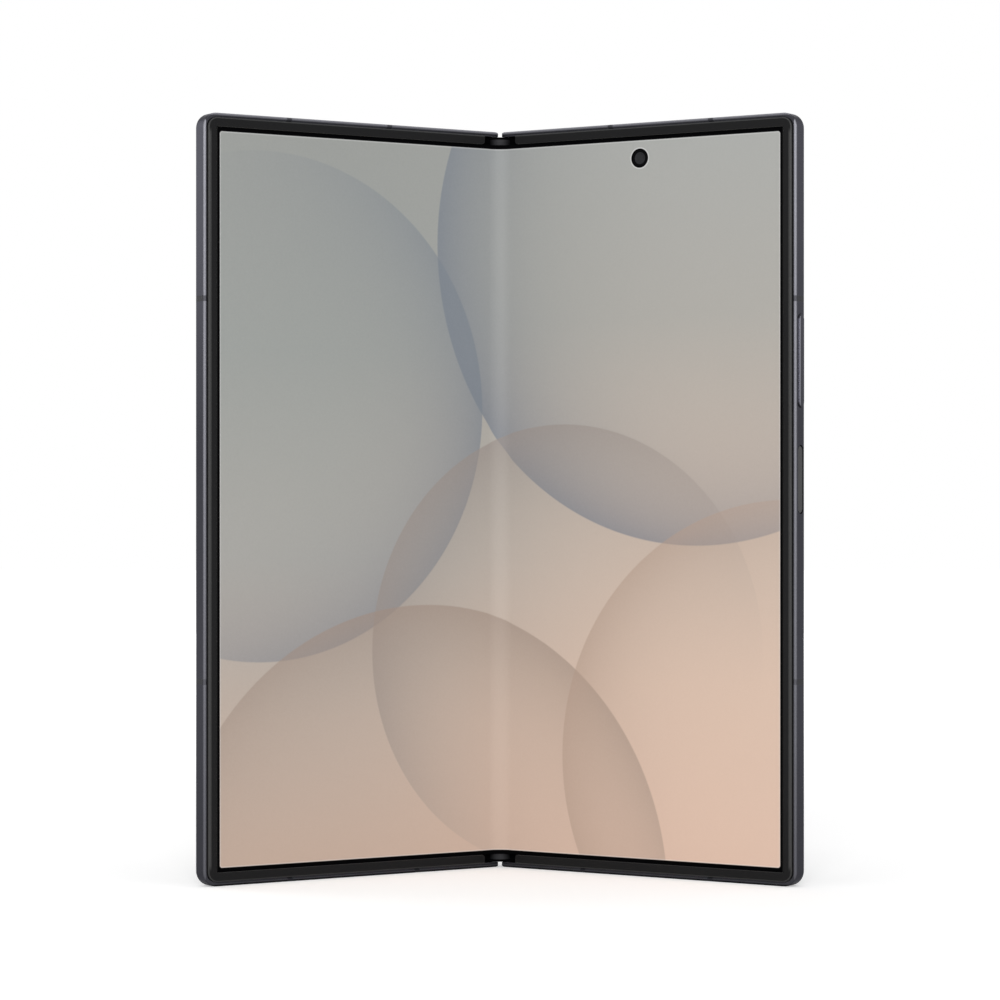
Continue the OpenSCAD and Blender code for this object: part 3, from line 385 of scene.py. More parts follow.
print("turned parts:", [len(p.data.polygons) for p in (rear_lenses, eye_lens)], "faces")

# %% [markdown]
# Finishes are written as sums and products of what the nodes give. A Signal stands for one
# output socket, and each operator adds a Math node. Other nodes come from the node method, which
# sets the node's settings first and its sockets after that. Colours are mixed with Mix nodes.
# The nodes could be linked one by one, but then the sums would be hard to read.

# %% A short way to write shaders
class Signal:
    """One output socket in a node tree."""

    def __init__(self, nodes, socket):
        self.nodes, self.socket = nodes, socket

    def maths(self, operation, first, second=0.0):
        return self.nodes.node("ShaderNodeMath", {"operation": operation}, {0: first, 1: second})

    def __add__(self, other):
        return self.maths("ADD", self, other)

    def __radd__(self, other):
        return self.maths("ADD", other, self)

    def __sub__(self, other):
        return self.maths("SUBTRACT", self, other)

    def __rsub__(self, other):
        return self.maths("SUBTRACT", other, self)

    def __mul__(self, other):
        return self.maths("MULTIPLY", self, other)

    def __rmul__(self, other):
        return self.maths("MULTIPLY", other, self)

    def __truediv__(self, other):
        return self.maths("DIVIDE", self, other)

    def __pow__(self, other):
        return self.maths("POWER", self, other)

    def __abs__(self):
        return self.maths("ABSOLUTE", self)

    def above(self, other):
        return self.maths("MAXIMUM", self, other)


class Nodes:
    """The node tree of a material or of the world, which ends in one shader."""

    def __init__(self, owner, shader):
        owner.use_nodes = True
        self.tree = owner.node_tree
        self.shader = self.tree.nodes[shader]

    def node(self, kind, settings=None, values=None, output=0):
        made = self.tree.nodes.new(kind)
        for name, value in (settings or {}).items():
            if name == "stops":
                ramp = made.color_ramp
                while len(ramp.elements) < len(value):
                    ramp.elements.new(0.5)
                for element, (place, colour) in zip(ramp.elements, value):
                    element.position, element.color = place, colour
            else:
                setattr(made, name, value)
        for key, value in (values or {}).items():
            if isinstance(value, Signal):
                self.tree.links.new(value.socket, made.inputs[key])
            else:
                made.inputs[key].default_value = value
        return Signal(self, made.outputs[output])

    def feed(self, socket, value):
        if isinstance(value, Signal):
            self.tree.links.new(value.socket, self.shader.inputs[socket])
        else:
            self.shader.inputs[socket].default_value = value

    def mix(self, share, first, second):
        """A mix of two colours."""
        return self.node("ShaderNodeMix", {"data_type": "RGBA"}, {0: share, 6: first, 7: second}, 2)

    def step(self, value, low, high):
        """0 where value is below low, 1 above high, smooth in between."""
        return self.node("ShaderNodeMapRange", {"interpolation_type": "SMOOTHSTEP"},
                         {"Value": value, "From Min": low, "From Max": high})

    def band(self, value, rise, fall):
        """1 between two steps up and down, and 0 outside them."""
        return self.step(value, *rise) * (1 - self.step(value, *fall))

    def place(self):
        """Where a point lies, in metres."""
        return self.node("ShaderNodeTexCoord", output="Object")

    def axes(self, vector):
        """The three parts of a vector."""
        parts = self.node("ShaderNodeSeparateXYZ", {}, {"Vector": vector}).socket.node
        return [Signal(self, part) for part in parts.outputs]

    def noise(self, scale, detail=2.0, vector=None):
        return self.node("ShaderNodeTexNoise", {},
                         {"Vector": vector or self.place(), "Scale": scale, "Detail": detail})

    def bump(self, strength, distance, height):
        """Raises the surface by height times distance."""
        self.feed("Normal", self.node("ShaderNodeBump", {},
                  {"Strength": strength, "Distance": distance, "Height": height}))


class Finish(Nodes):
    """A material with one Principled shader."""

    def __init__(self, name, values=None):
        self.material = bpy.data.materials.new(name)
        super().__init__(self.material, "Principled BSDF")
        for socket, value in (values or {}).items():
            self.feed(socket, value)


def reach(across, up):
    """How long the way is that two signals give."""
    return (across ** 2.0 + up ** 2.0) ** 0.5


def ink(red, green, blue):
    """A colour as it looks on a screen, from 0 to 255, as Blender wants it."""
    linear = [c / 255 / 12.92 if c < 11 else ((c / 255 + 0.055) / 1.055) ** 2.4
              for c in (red, green, blue)]
    return (*linear, 1.0)


def shaded(colour, factor):
    """A colour made darker or lighter."""
    return (*[min(1.0, c * factor) for c in colour[:3]], 1.0)


print("mid grey:", [round(c, 3) for c in ink(128, 128, 128)])


# %% [markdown]
# Most finishes on the phone are even, with a fine grain that shows only up close: blasted and
# anodised metal, satin plastic, etched glass. One function makes them from a colour, a roughness
# and the grain's size, and the grain moves the colour, the roughness and the surface together.
# A finish can also have a second tone, such as a painted highlight or shade along an edge,
# which its own function places.

# %% Grained finishes
SPECK_SHARE, CLOUD_SHARE = 0.7, 0.3
SPECK_ROUGH, CLOUD_ROUGH = 0.06, 0.04
CLOUD_SCALE = 90.0
GRAIN_BUMP = 0.35


def grained(name, colour, roughness, grain, depth, values=None, tint=0.12, edge=None,
            edge_rough=0.0):
    """An even finish with a fine grain; grain is its scale per metre and depth is in metres.

    edge gives share and colour of a second tone, often painted light; edge_rough roughens it."""
    finish = Finish(name, values)
    speck = finish.noise(grain)
    cloud = finish.noise(CLOUD_SCALE)
    tone = finish.mix(SPECK_SHARE * speck + CLOUD_SHARE * cloud,
                      shaded(colour, 1 - tint), shaded(colour, 1 + tint))
    smoothest = roughness - (SPECK_ROUGH + CLOUD_ROUGH) / 2
    rough = smoothest + SPECK_ROUGH * speck + CLOUD_ROUGH * cloud
    if edge:
        share, edge_colour = edge(finish)
        tone, rough = finish.mix(share, tone, edge_colour), rough + share * edge_rough
    finish.feed("Base Color", tone)
    finish.feed("Roughness", rough)
    finish.bump(GRAIN_BUMP, depth, speck)
    return finish


def flat_place_of(finish):
    """How far out, how deep and how high a point of either half lies when the phone is flat."""
    across, back, height = finish.axes(finish.place())
    out, back = abs(across) - axis_x, back - axis_depth
    sine, cosine = math.sin(REST_FOLD), math.cos(REST_FOLD)
    return out * cosine - back * sine + axis_x, out * sine + back * cosine + axis_behind, height


print("clouds in the finishes are about", round(1000 / CLOUD_SCALE), "mm wide")

# %% [markdown]
# A painted highlight lies on the frame's rounded front edge, down the free sides and along the
# top, brighter towards the top, where the light falls. Only its tone is laid on here, by how far a
# point lies from the free side and behind the display's face. The foot gets a dark painted shade,
# as it stands on its own shadow.

# %% Painted light and shade on the frame's edges
SIDE_STRIP = (0.00045, 0.0006)
FRONT_STRIP = (0.0002, 0.00048)
TOP_STRIP = (0.0007, 0.0001)
FOOT_STRIP = (0.0002, 0.0008)
TOP_SHARE, BAND_TOP_SHARE = 0.7, 0.6
phone_top = 2 * middle_z


def front_edge(finish):
    """The painted highlight's share on a half's rounded front edge, and the height on the phone."""
    along, depth, height = flat_place_of(finish)
    beside = 1 - finish.step(free_side - along, *SIDE_STRIP)
    return beside * (1 - finish.step(depth, *FRONT_STRIP)), height


def top_edge_highlight(finish, height):
    """Where the painted highlight lies on the frame's top, as the light from above falls there."""
    start, full = TOP_STRIP
    return finish.step(height, phone_top - start, phone_top - full)


def painted_edge_light(finish):
    """Painted highlight on the frame's rounded front edge and top, and painted shade on its foot.
    """
    side, height = front_edge(finish)
    lit = side.above(top_edge_highlight(finish, height) * TOP_SHARE)
    foot = 1 - finish.step(height, *FOOT_STRIP)
    # The painted highlight is brighter towards the top; the foot gets a dark painted shade.
    bright = finish.mix(height / phone_top, ink(88, 88, 94), ink(142, 142, 149))
    return (lit * (1 - foot)).above(foot), finish.mix(foot, bright, ink(20, 20, 22))


def band_edge_highlight(finish):
    """The painted highlight on the antenna bands' part of those edges."""
    side, height = front_edge(finish)
    return side.above(top_edge_highlight(finish, height) * BAND_TOP_SHARE), ink(82, 82, 88)


print("the frame's bright edge is", SIDE_STRIP[1] * 1000, "mm wide")

# %% [markdown]
# The bezel is a dark plastic ring. A painted highlight lies on its outer rounding all the way
# round, and on a narrow strip of its face on the free sides. The volume key gets a painted
# highlight on its front edge, like the frame's. All of these are painted highlights too, measured
# from the pieces' own faces.

# %% Painted highlights on the bezel and the volume key
ROUNDING_RISE, ROUNDING_FALL = (0.00001, 0.00006), (0.0002, 0.0004)
ROUNDING_SHARE = 0.8
FACE_RISE, FACE_FALL = (0.00095, 0.0011), (0.0015, 0.00175)
FACE_STRIP_END = (0.0045, 0.003)
KEY_STRIP = (0.0005, 0.0007)


def bezel_rim_highlight(finish):
    """Painted highlight on the bezel: its outer rounding, and a strip of its face on the free
    sides.
    """
    along, depth, height = flat_place_of(finish)
    rounding = finish.band(depth - bezel_face, ROUNDING_RISE, ROUNDING_FALL)
    fade, end = [middle_z - inset for inset in FACE_STRIP_END]
    beside = (finish.band(free_side - along, FACE_RISE, FACE_FALL)
              * (1 - finish.step(abs(height - middle_z), fade, end)))
    return (rounding * ROUNDING_SHARE).above(beside), ink(58, 58, 58)


def key_edge_highlight(finish):
    """The painted highlight on the volume key's front edge."""
    depth = flat_place_of(finish)[1]
    return 1 - finish.step(depth - key_face, *KEY_STRIP), ink(120, 120, 127)


print("the bezel's face lies", round(-bezel_face * 1000, 2), "mm before the display")

# %% [markdown]
# With those painted highlights and shades at hand, the outer parts get their finishes: anodised
# metal for the frames, moulded plastic for the bands and bezels. Dark plastic keeps a very low
# specular level here, because the white surround would otherwise turn it grey.

# %% Finishes of the outer parts
METAL_EDGE_TINT = ink(190, 190, 192)
# The frame's edge function lays a painted highlight on its front edge and top, and painted shade on
# its foot.
frame_metal = grained("anodised_frame", ink(60, 60, 65),
                      roughness=0.28, grain=5200.0, depth=0.000005,
                      values={"Metallic": 1.0, "Specular Tint": METAL_EDGE_TINT},
                      edge=painted_edge_light, edge_rough=0.4)
band_plastic = grained("band_plastic", ink(34, 34, 39),
                       roughness=0.5, grain=3800.0, depth=0.000012,
                       values={"Specular IOR Level": 0.12}, edge=band_edge_highlight)
bezel_plastic = grained("bezel_plastic", ink(15, 15, 16),
                        roughness=0.32, grain=3400.0, depth=0.00002,
                        values={"Specular IOR Level": 0.14}, edge=bezel_rim_highlight, edge_rough=0.1)
key_metal = grained("key_metal", ink(66, 66, 71),
                    roughness=0.28, grain=5200.0, depth=0.00001,
                    values={"Metallic": 1.0, "Specular Tint": METAL_EDGE_TINT}, edge=key_edge_highlight)
side_key_glass = grained("side_key_glass", ink(24, 24, 28),
                         roughness=0.3, grain=2400.0, depth=0.000005,
                         values={"Specular IOR Level": 0.2})
print("grained finishes made")

# %% [markdown]
# The end caps close the spine between the bezels. Their rounded fronts are satin plastic, and
# what lies behind and above them is painted black as shade, for a deep gap where the light hardly
# gets in. The two tones are told apart by the place on the solid: its depth and its height. The
# front's grey also fades to black at both sides in painted shade, where the bezels stand close
# beside it.

# %% The end caps' finish and painted shade
cap_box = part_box("spine_end_caps")
CAP_FRONT_DEPTH = 0.0009
CAP_SIDE_SHADE = 0.0028
CAP_TOP_STEP = 0.0006
CAP_SOFT = 0.0001
CAP_GRAIN, CAP_GRAIN_DEPTH = 3400.0, 0.000015
cap_plastic = Finish("cap_plastic", {"Roughness": 0.5, "Specular IOR Level": 0.0})
cap_across, cap_depth, cap_height = cap_plastic.axes(cap_plastic.place())
cap_front_y, cap_top_z = cap_box[0][1], cap_box[1][2]
front_end = cap_front_y + CAP_FRONT_DEPTH
step_start = cap_top_z - middle_z - CAP_TOP_STEP
# The grey shows only on the front below the step; elsewhere the cap is painted black as shade, and
# the front fades into that painted shade towards its sides.
unshaded_front = ((1 - cap_plastic.step(cap_depth, front_end - CAP_SOFT, front_end))
            * (1 - cap_plastic.step(abs(cap_across), 0.0, CAP_SIDE_SHADE)))
below_step = 1 - cap_plastic.step(abs(cap_height - middle_z), step_start, step_start + CAP_SOFT)
cap_grain = cap_plastic.noise(CAP_GRAIN)
cap_grey = cap_plastic.mix(cap_grain, ink(52, 52, 54), ink(60, 60, 62))
cap_plastic.feed("Base Color", cap_plastic.mix(unshaded_front * below_step, ink(6, 6, 7), cap_grey))
cap_plastic.bump(GRAIN_BUMP, CAP_GRAIN_DEPTH, cap_grain)
print("cap finish reaches", round(cap_top_z * 1000, 2), "mm up")

# %% [markdown]
# The hinge's steel parts and the plates behind the display are machined or rolled, which leaves
# fine lines along the part. A noise that is stretched along Z gives such lines, in the
# roughness and the surface. The gears are small brass wheels with the same lines.

# %% Brushed finishes
LINES_PER_METRE = (9000.0, 9000.0, 160.0)
LINE_SHADE, LINE_ROUGH = 0.8, 0.16
LINE_BUMP, LINE_DEPTH = 0.25, 0.00001


def brushed(name, colour, roughness):
    """Metal with fine lines that run along Z."""
    finish = Finish(name, {"Metallic": 1.0})
    stretched = finish.node("ShaderNodeMapping", {},
                            {"Vector": finish.place(), "Scale": LINES_PER_METRE})
    line = finish.noise(1.0, 3.0, stretched)
    finish.feed("Base Color", finish.mix(line, shaded(colour, LINE_SHADE), colour))
    finish.feed("Roughness", roughness - LINE_ROUGH / 2 + LINE_ROUGH * line)
    finish.bump(LINE_BUMP, LINE_DEPTH, line)
    return finish


hinge_steel = brushed("hinge_steel", ink(176, 178, 182), roughness=0.3)
plate_steel = brushed("plate_steel", ink(150, 151, 154), roughness=0.38)
screw_steel = brushed("screw_steel", ink(120, 121, 125), roughness=0.25)
gear_brass = brushed("gear_brass", ink(206, 178, 120), roughness=0.3)
coil_copper = brushed("coil_copper", ink(196, 128, 88), roughness=0.35)
ring_metal = brushed("ring_metal", ink(104, 105, 112), roughness=0.24)
print("brushed finishes made")

# %% [markdown]
# The back has etched glass: a dark, almost metallic colour under a satin skin. The cover side is
# clear glass over a black display. Both are opaque from outside, so no real transparency is
# needed: on the back a thin satin coat over the dark base stands for the glass, and on the cover
# side a smooth black surface is enough.

# %% Glass finishes
back_satin = grained("etched_back_glass", ink(66, 67, 73),
                     roughness=0.36, grain=2600.0, depth=0.000006,
                     values={"Metallic": 0.55, "Coat Weight": 0.35, "Coat Roughness": 0.28},
                     tint=0.05)
cover_black = grained("clear_cover_glass", ink(10, 10, 12),
                      roughness=0.1, grain=900.0, depth=0.000001,
                      values={"Specular IOR Level": 0.3}, tint=0.3)
lens_dark = grained("lens_window_glass", ink(8, 8, 11),
                    roughness=0.08, grain=900.0, depth=0.000001,
                    values={"Specular IOR Level": 0.4}, tint=0.2)
flash_glass = Finish("flash_diffuser", {"Roughness": 0.35, "Coat Weight": 0.6})
facets = flash_glass.node("ShaderNodeTexVoronoi", {},
                          {"Vector": flash_glass.place(), "Scale": 2600.0}, "Distance")
flash_glass.feed("Base Color", flash_glass.mix(facets, ink(226, 214, 176), ink(244, 240, 224)))
flash_glass.bump(strength=0.5, distance=0.00008, height=facets)
print("glass finishes made")

# %% [markdown]
# The lenses are almost black. A thin layer against reflections gives them a deep blue and violet
# sheen that changes from place to place, and the baffle round them is matt black. A real thin
# film could be simulated, but a slow noise between two dark colours looks the same at this size.

# %% Lens finishes
SWIRL_SCALE, SWIRL_DETAIL = 260.0, 1.0
COATING_ROUGH = 0.05
barrel_glass = grained("inner_lens_glass", ink(38, 38, 40),
                       roughness=0.3, grain=900.0, depth=0.000001,
                       values={"Specular IOR Level": 0.1})
lens_coating = Finish("lens_coating", {"Coat Weight": 0.6, "Coat Roughness": 0.03})
swirl = lens_coating.noise(SWIRL_SCALE, SWIRL_DETAIL)
lens_coating.feed("Base Color", lens_coating.mix(swirl, ink(10, 12, 30), ink(30, 14, 34)))
lens_coating.feed("Roughness", COATING_ROUGH * (1 + swirl))
lens_baffle = grained("lens_baffle", ink(16, 16, 18),
                      roughness=0.6, grain=5000.0, depth=0.000004,
                      values={"Specular IOR Level": 0.2})
for piece, used in ((rear_lenses, (lens_coating, lens_baffle, lens_dark)),
                    (eye_lens, (barrel_glass,))):
    for finish in used:
        piece.data.materials.append(finish.material)
print("lens finishes made")

# %% [markdown]
# What lies inside is seen only when the model is taken apart, but it still gets its own look:
# creased battery pouches, boards with rows of small parts, and moulded camera housings. Pictures
# of real parts would be the usual way, but noise, cells and waves need no file and no seam.

# %% Finishes of the inner parts
pouch = grained("battery_pouch", ink(46, 47, 51),
                roughness=0.42, grain=420.0, depth=0.00012)
housing = grained("camera_housing", ink(22, 22, 24),
                  roughness=0.4, grain=3000.0, depth=0.00001)
BARREL_RIM = (0.0006, 0.0005)
CELL_EDGE = (0.24, 0.3)
TRACE_SHARE = 0.35


def barrel_face(finish):
    """The inner camera's dark grey front, inside its black rim."""
    along, _, height = flat_place_of(finish)
    start, end = [eye_radius - inset for inset in BARREL_RIM]
    return 1 - finish.step(reach(along - eye_x, height - eye_z), start, end), ink(42, 42, 44)


barrel_black = grained("lens_barrel", ink(5, 5, 6),
                       roughness=0.45, grain=3000.0, depth=0.000006,
                       values={"Specular IOR Level": 0.03}, edge=barrel_face)
board = Finish("circuit_board", {"Roughness": 0.45})
cells = board.node("ShaderNodeTexVoronoi", {"distance": "CHEBYCHEV"},
                   {"Vector": board.place(), "Scale": 420.0}, "Distance")
part_mask = 1 - board.step(cells, *CELL_EDGE)
traces = board.node("ShaderNodeTexWave", {"bands_direction": "DIAGONAL"},
                    {"Vector": board.place(), "Scale": 260.0, "Distortion": 3.0})
bare_board = board.mix(traces * TRACE_SHARE, ink(20, 58, 46), ink(64, 110, 84))
board.feed("Base Color", board.mix(part_mask, bare_board, ink(40, 40, 42)))
board.bump(strength=0.6, distance=0.0002, height=part_mask)
print("inner finishes made")

# %% [markdown]
# The inner display shows a calm picture: a grey-green sky tone that warms to peach at the foot.
# An image file would be the usual way, but two colour ramps need no file. They are read from the
# unfolded coordinates, so the picture runs unbroken over the fold.

# %% The picture's ground tones
PICTURE_REACH = 0.96
LEFT_TONES_END, RIGHT_TONES_START = -0.3, 0.34
screen = Finish("display_picture", {"Roughness": 0.4, "Specular IOR Level": 0.0,
                                    "Coat Roughness": 0.33, "Emission Strength": 1.0})
flat_place = screen.node("ShaderNodeUVMap", {"uv_map": "unfolded"})
across, up = [part - 0.5 for part in screen.axes(flat_place)[:2]]
left_tones = [(0.0, ink(196, 172, 156)), (0.2, ink(188, 172, 160)), (0.42, ink(168, 166, 161)),
              (0.7, ink(154, 157, 154)), (1.0, ink(152, 154, 151))]
right_tones = [(0.0, ink(222, 191, 172)), (0.25, ink(216, 190, 172)), (0.5, ink(196, 180, 167)),
               (0.75, ink(172, 169, 163)), (1.0, ink(167, 168, 165))]
height_share = up / PICTURE_REACH + 0.5
left_ramp = screen.node("ShaderNodeValToRGB", {"stops": left_tones}, {0: height_share})
right_ramp = screen.node("ShaderNodeValToRGB", {"stops": right_tones}, {0: height_share})
picture = screen.mix(screen.step(across, LEFT_TONES_END, RIGHT_TONES_START),
                     left_ramp, right_ramp)
print("ground tones:", len(left_tones), "on the left,", len(right_tones), "on the right")

# %% [markdown]
# Large sheets like thin curved paper overlap on that ground. Each is a disc that is darkest just
# inside its edge and fades inwards, and more so on the side that the light comes from. They could
# be curves of any kind, but a disc needs only the distance to its middle.

# %% The picture's paper discs
DISC_SOFT = 0.0012
LIGHT_FROM, LIGHT_TO = -0.9, 1.0


def paper_disc(under, centre_x, centre_z, radius, colour, strength, fade, light):
    """Lays a disc over the picture: dark at its edge, fading inwards; light turns it round."""
    right, above = across - centre_x, up - centre_z
    distance = reach(right, above)
    inside = 1 - screen.step(distance, radius - DISC_SOFT, radius + DISC_SOFT)
    towards = screen.step(right * (light[0] / radius) + above * (light[1] / radius),
                          LIGHT_FROM, LIGHT_TO)
    depth = (distance / radius) ** fade * inside * towards * strength
    return screen.mix(depth, under, colour)


# centre across and up, radius, colour, strength, fade and the direction of the light
discs = [
    (0.30, 0.34, 0.40, ink(116, 124, 136), 0.75, 4.0, (-0.8, -0.6)),
    (-0.36, 0.12, 0.33, ink(120, 128, 138), 0.7, 3.0, (0.9, -0.4)),
    (0.10, -0.20, 0.30, ink(150, 140, 134), 0.7, 3.4, (-0.7, 0.7)),
    (-0.12, -0.52, 0.38, ink(156, 138, 126), 0.65, 4.0, (0.2, 1.0)),
    (0.44, -0.34, 0.34, ink(176, 152, 136), 0.6, 5.0, (-1.0, 0.25)),
]
for disc in discs:
    picture = paper_disc(picture, *disc)
print("display picture made of", len(discs), "discs")

# %% [markdown]
# Between the picture and the bezel the display has a thin black border with small round corners,
# and the camera's hole has a black ring. Edges in the mesh could part them, but they would have
# to bend with the sheet, so the distance to a rounded rectangle is worked out instead.

# %% The display's border
BORDER_ACROSS = 0.00078
BORDER_UP = 0.0009
ACTIVE_RADIUS = 0.0005
BORDER_SOFT = 0.0006
EYE_RING_START, EYE_RING_END = eye_radius + 0.00018, eye_radius + 0.0003
half_across = (display_edge_x - BORDER_ACROSS - ACTIVE_RADIUS) / PICTURE_WIDTH
half_up = (display_half_z - BORDER_UP - ACTIVE_RADIUS) / PICTURE_WIDTH
over_x = (abs(across) - half_across).above(0.0)
over_z = (abs(up) - half_up).above(0.0)
from_edge = reach(over_x, over_z) - ACTIVE_RADIUS / PICTURE_WIDTH
from_eye = reach(across - eye_x / PICTURE_WIDTH, up - (eye_z - middle_z) / PICTURE_WIDTH)
lit = ((1 - screen.step(from_edge, -BORDER_SOFT, BORDER_SOFT))
       * screen.step(from_eye, EYE_RING_START / PICTURE_WIDTH, EYE_RING_END / PICTURE_WIDTH))
print("border is", BORDER_UP * 1000, "mm high")

# %% [markdown]
# A painted highlight lines the picture's very edge and the outside of the camera hole's ring, and
# the film has a fine speckle. Part of the picture's light is emitted and part is paint, so that the
# display glows but still takes the shadows round it. A weak rough coat stands for the glossy
# film and gives the band of light along the fold. The outermost strip of the border has the
# bezel's tone.

# %% The display's light and film
SPECKLE_SCALE, SPECKLE_SHARE = 2200.0, 0.035
EDGE_LINE, EDGE_HIGHLIGHT_SHARE = 0.0003, 0.32
BORDER_RIM, RIM_SOFT = 0.0002, 0.00005
PAINT_DIMMED, GLOW_SHARE, FILM_COAT = 0.4, 0.39, 0.1
speckle = screen.mix(screen.noise(SPECKLE_SCALE), ink(60, 58, 57), ink(215, 212, 208))
shown = screen.mix(SPECKLE_SHARE, picture, speckle)
near_edge = screen.step(from_edge, -EDGE_LINE / PICTURE_WIDTH, 0.0)
near_eye = 1 - screen.step(from_eye, EYE_RING_END / PICTURE_WIDTH,
                           (EYE_RING_END + EDGE_LINE) / PICTURE_WIDTH)
# Painted highlight: a thin line of white is mixed in just inside the picture's edge and round the
# camera hole.
shown = screen.mix(near_edge.above(near_eye) * EDGE_HIGHLIGHT_SHARE, shown, ink(255, 255, 255))
rim_start = display_edge_x - BORDER_RIM
border_rim = screen.step(abs(across) * PICTURE_WIDTH, rim_start - RIM_SOFT, rim_start)
border = screen.mix(border_rim, ink(6, 6, 7), ink(32, 32, 32))
paint = screen.mix(PAINT_DIMMED, shown, ink(0, 0, 0))
screen.feed("Base Color", screen.mix(lit, border, paint))
screen.feed("Emission Color", screen.mix(lit * GLOW_SHARE, ink(0, 0, 0), shown))
screen.feed("Coat Weight", lit * FILM_COAT)
for sheet in (right_sheet, left_sheet):
    sheet.data.materials.append(screen.material)
print("share of the picture that glows:", GLOW_SHARE)

# %% [markdown]
# Each solid now gets its finish. A solid could have one made for it alone, but real parts share
# theirs, so lists say which ones do, and a check at the end names any that is still bare.

# %% Finish the solids
finishes = {
    frame_metal: ["left_frame", "right_frame", "spine_cover", "camera_island", "card_tray"],
    band_plastic: ["left_antenna_bands", "right_antenna_bands"],
    bezel_plastic: ["left_bezel", "right_bezel"],
    cap_plastic: ["spine_end_caps"],
    key_metal: ["volume_key"],
    side_key_glass: ["side_key"],
    hinge_steel: ["hinge_base_upper", "hinge_base_lower", "upper_right_arm", "lower_right_arm",
                  "upper_left_arm", "lower_left_arm", "shield_cans", "charging_port",
                  "vibration_motor", "card_cage", "left_magnets", "right_magnets"],
    plate_steel: ["spine_support_bar", "left_display_plate", "right_display_plate",
                  "left_wing_plate", "right_wing_plate"],
    screw_steel: ["idler_pins", "spine_screws", "left_screws", "right_screws"],
    gear_brass: ["right_outer_idlers", "right_inner_idlers", "left_outer_idlers",
                 "left_inner_idlers", "key_switches"],
    coil_copper: ["charging_coil"],
    ring_metal: ["lens_rings"],
    back_satin: ["back_glass"],
    cover_black: ["cover_glass"],
    lens_dark: ["lens_windows"],
    flash_glass: ["flash_window"],
    pouch: ["left_battery", "right_battery"],
    board: ["main_board", "second_board"],
    housing: ["wide_camera", "ultrawide_camera", "tele_camera", "bottom_speaker", "top_speaker",
              "cover_camera", "cover_display"],
    barrel_black: ["inner_camera"],
    screen: ["fold_display", "left_display", "right_display"],
}
finished = set()
for finish, names in finishes.items():
    for name in names:
        materials = frame["nodes"][name].data.materials
        for i in range(len(materials)):
            materials[i] = finish.material
        finished.add(name)
print("bare solids:", sorted(set(frame["nodes"]) - finished))

# %% [markdown]
# The scene round the phone is a photographer's white table. The floor is pale and keeps a soft
# shadow, and it shines a little towards the camera, so that it runs into the white behind it.
# More lamps would whiten it too, but they would also wash out the phone, so only rays that show
# the surroundings see this glow: from the camera, off glossy faces and through glass.

# %% The floor
FLOOR_REACH = 3.0
FADE_START, FADE_END = 0.12, 0.7
NEAR_GLOW, FAR_GLOW = 0.3, 0.5


def seen_share(nodes):
    """1 for rays that show what is behind the phone, and 0 for the light that falls on it."""
    straight_on, glossy, through = [
        nodes.node("ShaderNodeLightPath", output=name)
        for name in ("Is Camera Ray", "Is Glossy Ray", "Is Transmission Ray")]
    return straight_on.above(glossy).above(through)


floor_mesh = bpy.data.meshes.new("floor")
floor_mesh.from_pydata([(x * FLOOR_REACH, y * FLOOR_REACH, 0.0)
                        for x, y in ((-1, -1), (1, -1), (1, 1), (-1, 1))], [], [(0, 1, 2, 3)])
floor = bpy.data.objects.new("floor", floor_mesh)
bpy.context.collection.objects.link(floor)
floor_white = Finish("floor_white", {"Base Color": ink(236, 236, 236), "Roughness": 0.9,
                                     "Specular IOR Level": 0.0, "Emission Strength": 1.0})
distance = floor_white.node("ShaderNodeVectorMath", {"operation": "LENGTH"},
                            {0: floor_white.place()}, "Value")
glow = NEAR_GLOW + FAR_GLOW * floor_white.step(distance, FADE_START, FADE_END)
floor_white.feed("Emission Color", floor_white.mix(seen_share(floor_white) * glow,
                                                   ink(0, 0, 0), ink(255, 255, 255)))
floor_mesh.materials.append(floor_white.material)
print("floor reaches", FLOOR_REACH, "m to each side")

# %% [markdown]
# The air round the table is white where it is seen and grey where it only lights the phone, at a
# level that shows a colour about as it is written. A large white dome of mesh would work as
# well, but the world needs no mesh and gives no shadow.

# %% The white surround
SURROUND_LEVEL = 0.5
world = bpy.data.worlds.new("white_studio")
bpy.context.scene.world = world
surround = Nodes(world, "Background")
lighting = (SURROUND_LEVEL, SURROUND_LEVEL, SURROUND_LEVEL, 1.0)
surround.feed("Color", surround.mix(seen_share(surround), lighting, ink(255, 255, 255)))
print("the surround lights the phone at", SURROUND_LEVEL)

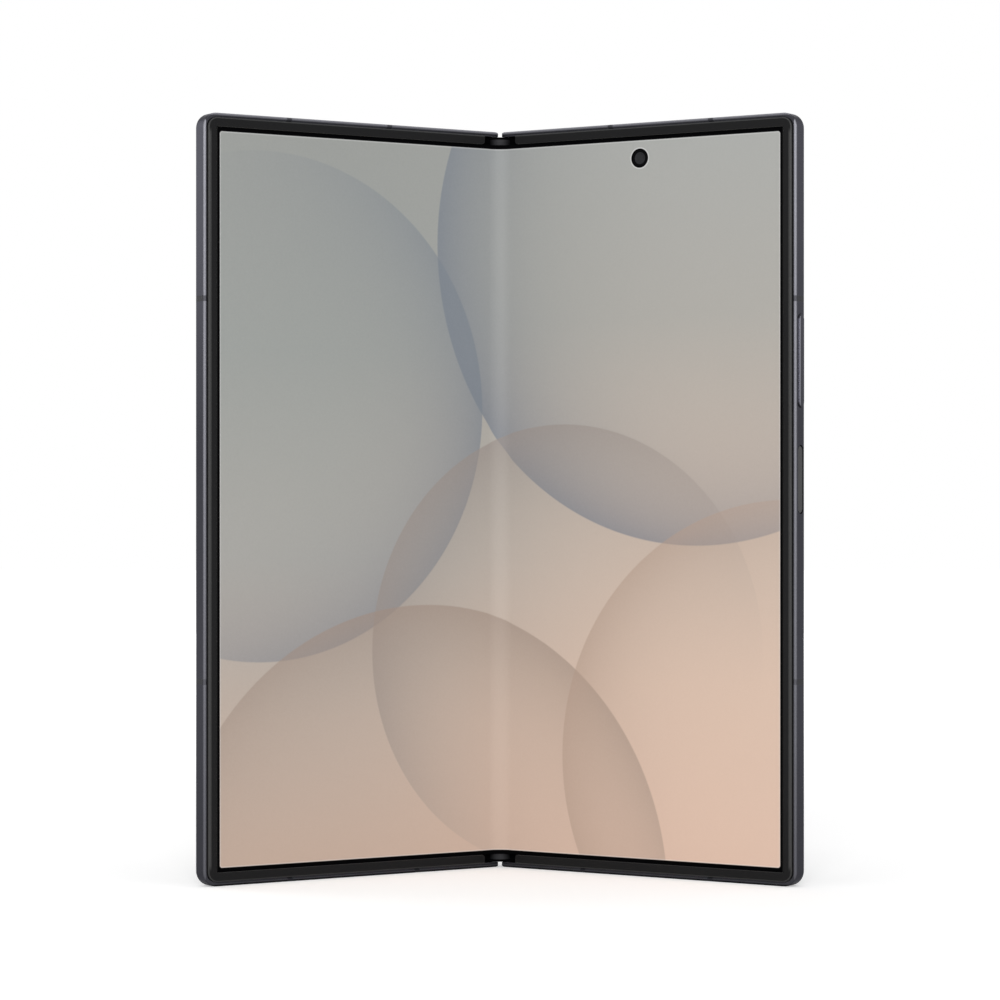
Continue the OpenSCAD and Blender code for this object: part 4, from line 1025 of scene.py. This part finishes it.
# %% [markdown]
# Large lamps behind the phone on both sides light the frame's edges, and one above and one behind
# shape its top. A smaller one above the camera gives the soft lighter band along the fold: the
# middle of the fold mirrors it, and the slanted panels mirror the plain surround. Area lamps
# are used because point lamps would give hard edges to the shadow and the band.

# %% Lamps
phone_middle = Vector((0.0, 0.0, middle_z))


def lamp(name, place, width, height, power):
    """A rectangular soft lamp that points at the phone's middle."""
    light = bpy.data.lights.new(name, "AREA")
    light.shape, light.size, light.size_y, light.energy = "RECTANGLE", width, height, power
    piece = bpy.data.objects.new(name, light)
    piece.location = place
    piece.rotation_euler = (phone_middle - Vector(place)).to_track_quat("-Z", "Y").to_euler()
    bpy.context.collection.objects.link(piece)


lamp("left_softbox", (-0.9, 0.45, 0.5), width=0.5, height=0.7, power=2.4)
lamp("right_softbox", (0.9, 0.45, 0.5), width=0.5, height=0.7, power=0.9)
lamp("top_softbox", (0.0, -0.15, 1.1), width=0.8, height=0.5, power=2.2)
lamp("back_softbox", (0.0, 1.2, 0.3), width=0.8, height=0.6, power=1.6)
lamp("front_softbox", (-0.03, -0.95, 0.3), width=0.4, height=0.4, power=5.0)

# %% [markdown]
# The photograph is taken level, from straight in front of the fold, with a long lens: the upper
# and lower edges of the frame run towards the fold evenly. A shorter lens from nearby would
# frame the phone as well, but its outer edges would look much taller than the fold.

# %% Camera
CAMERA_DISTANCE = 0.6896
CAMERA_HEIGHT = 0.0791
FOCAL_LENGTH, SENSOR_WIDTH = 118.0, 36.0
NEAREST_SEEN, FURTHEST_SEEN = 0.01, 20.0
camera = bpy.data.cameras.new("camera")
camera.lens, camera.sensor_width = FOCAL_LENGTH, SENSOR_WIDTH
camera.clip_start, camera.clip_end = NEAREST_SEEN, FURTHEST_SEEN
viewer = bpy.data.objects.new("camera", camera)
viewer.location = (0.0, -CAMERA_DISTANCE, CAMERA_HEIGHT)
viewer.rotation_euler = (math.radians(90), 0.0, 0.0)
bpy.context.collection.objects.link(viewer)
bpy.context.scene.camera = viewer
bpy.context.scene.view_settings.view_transform = "Standard"
print("camera stands", CAMERA_DISTANCE, "m from the middle")
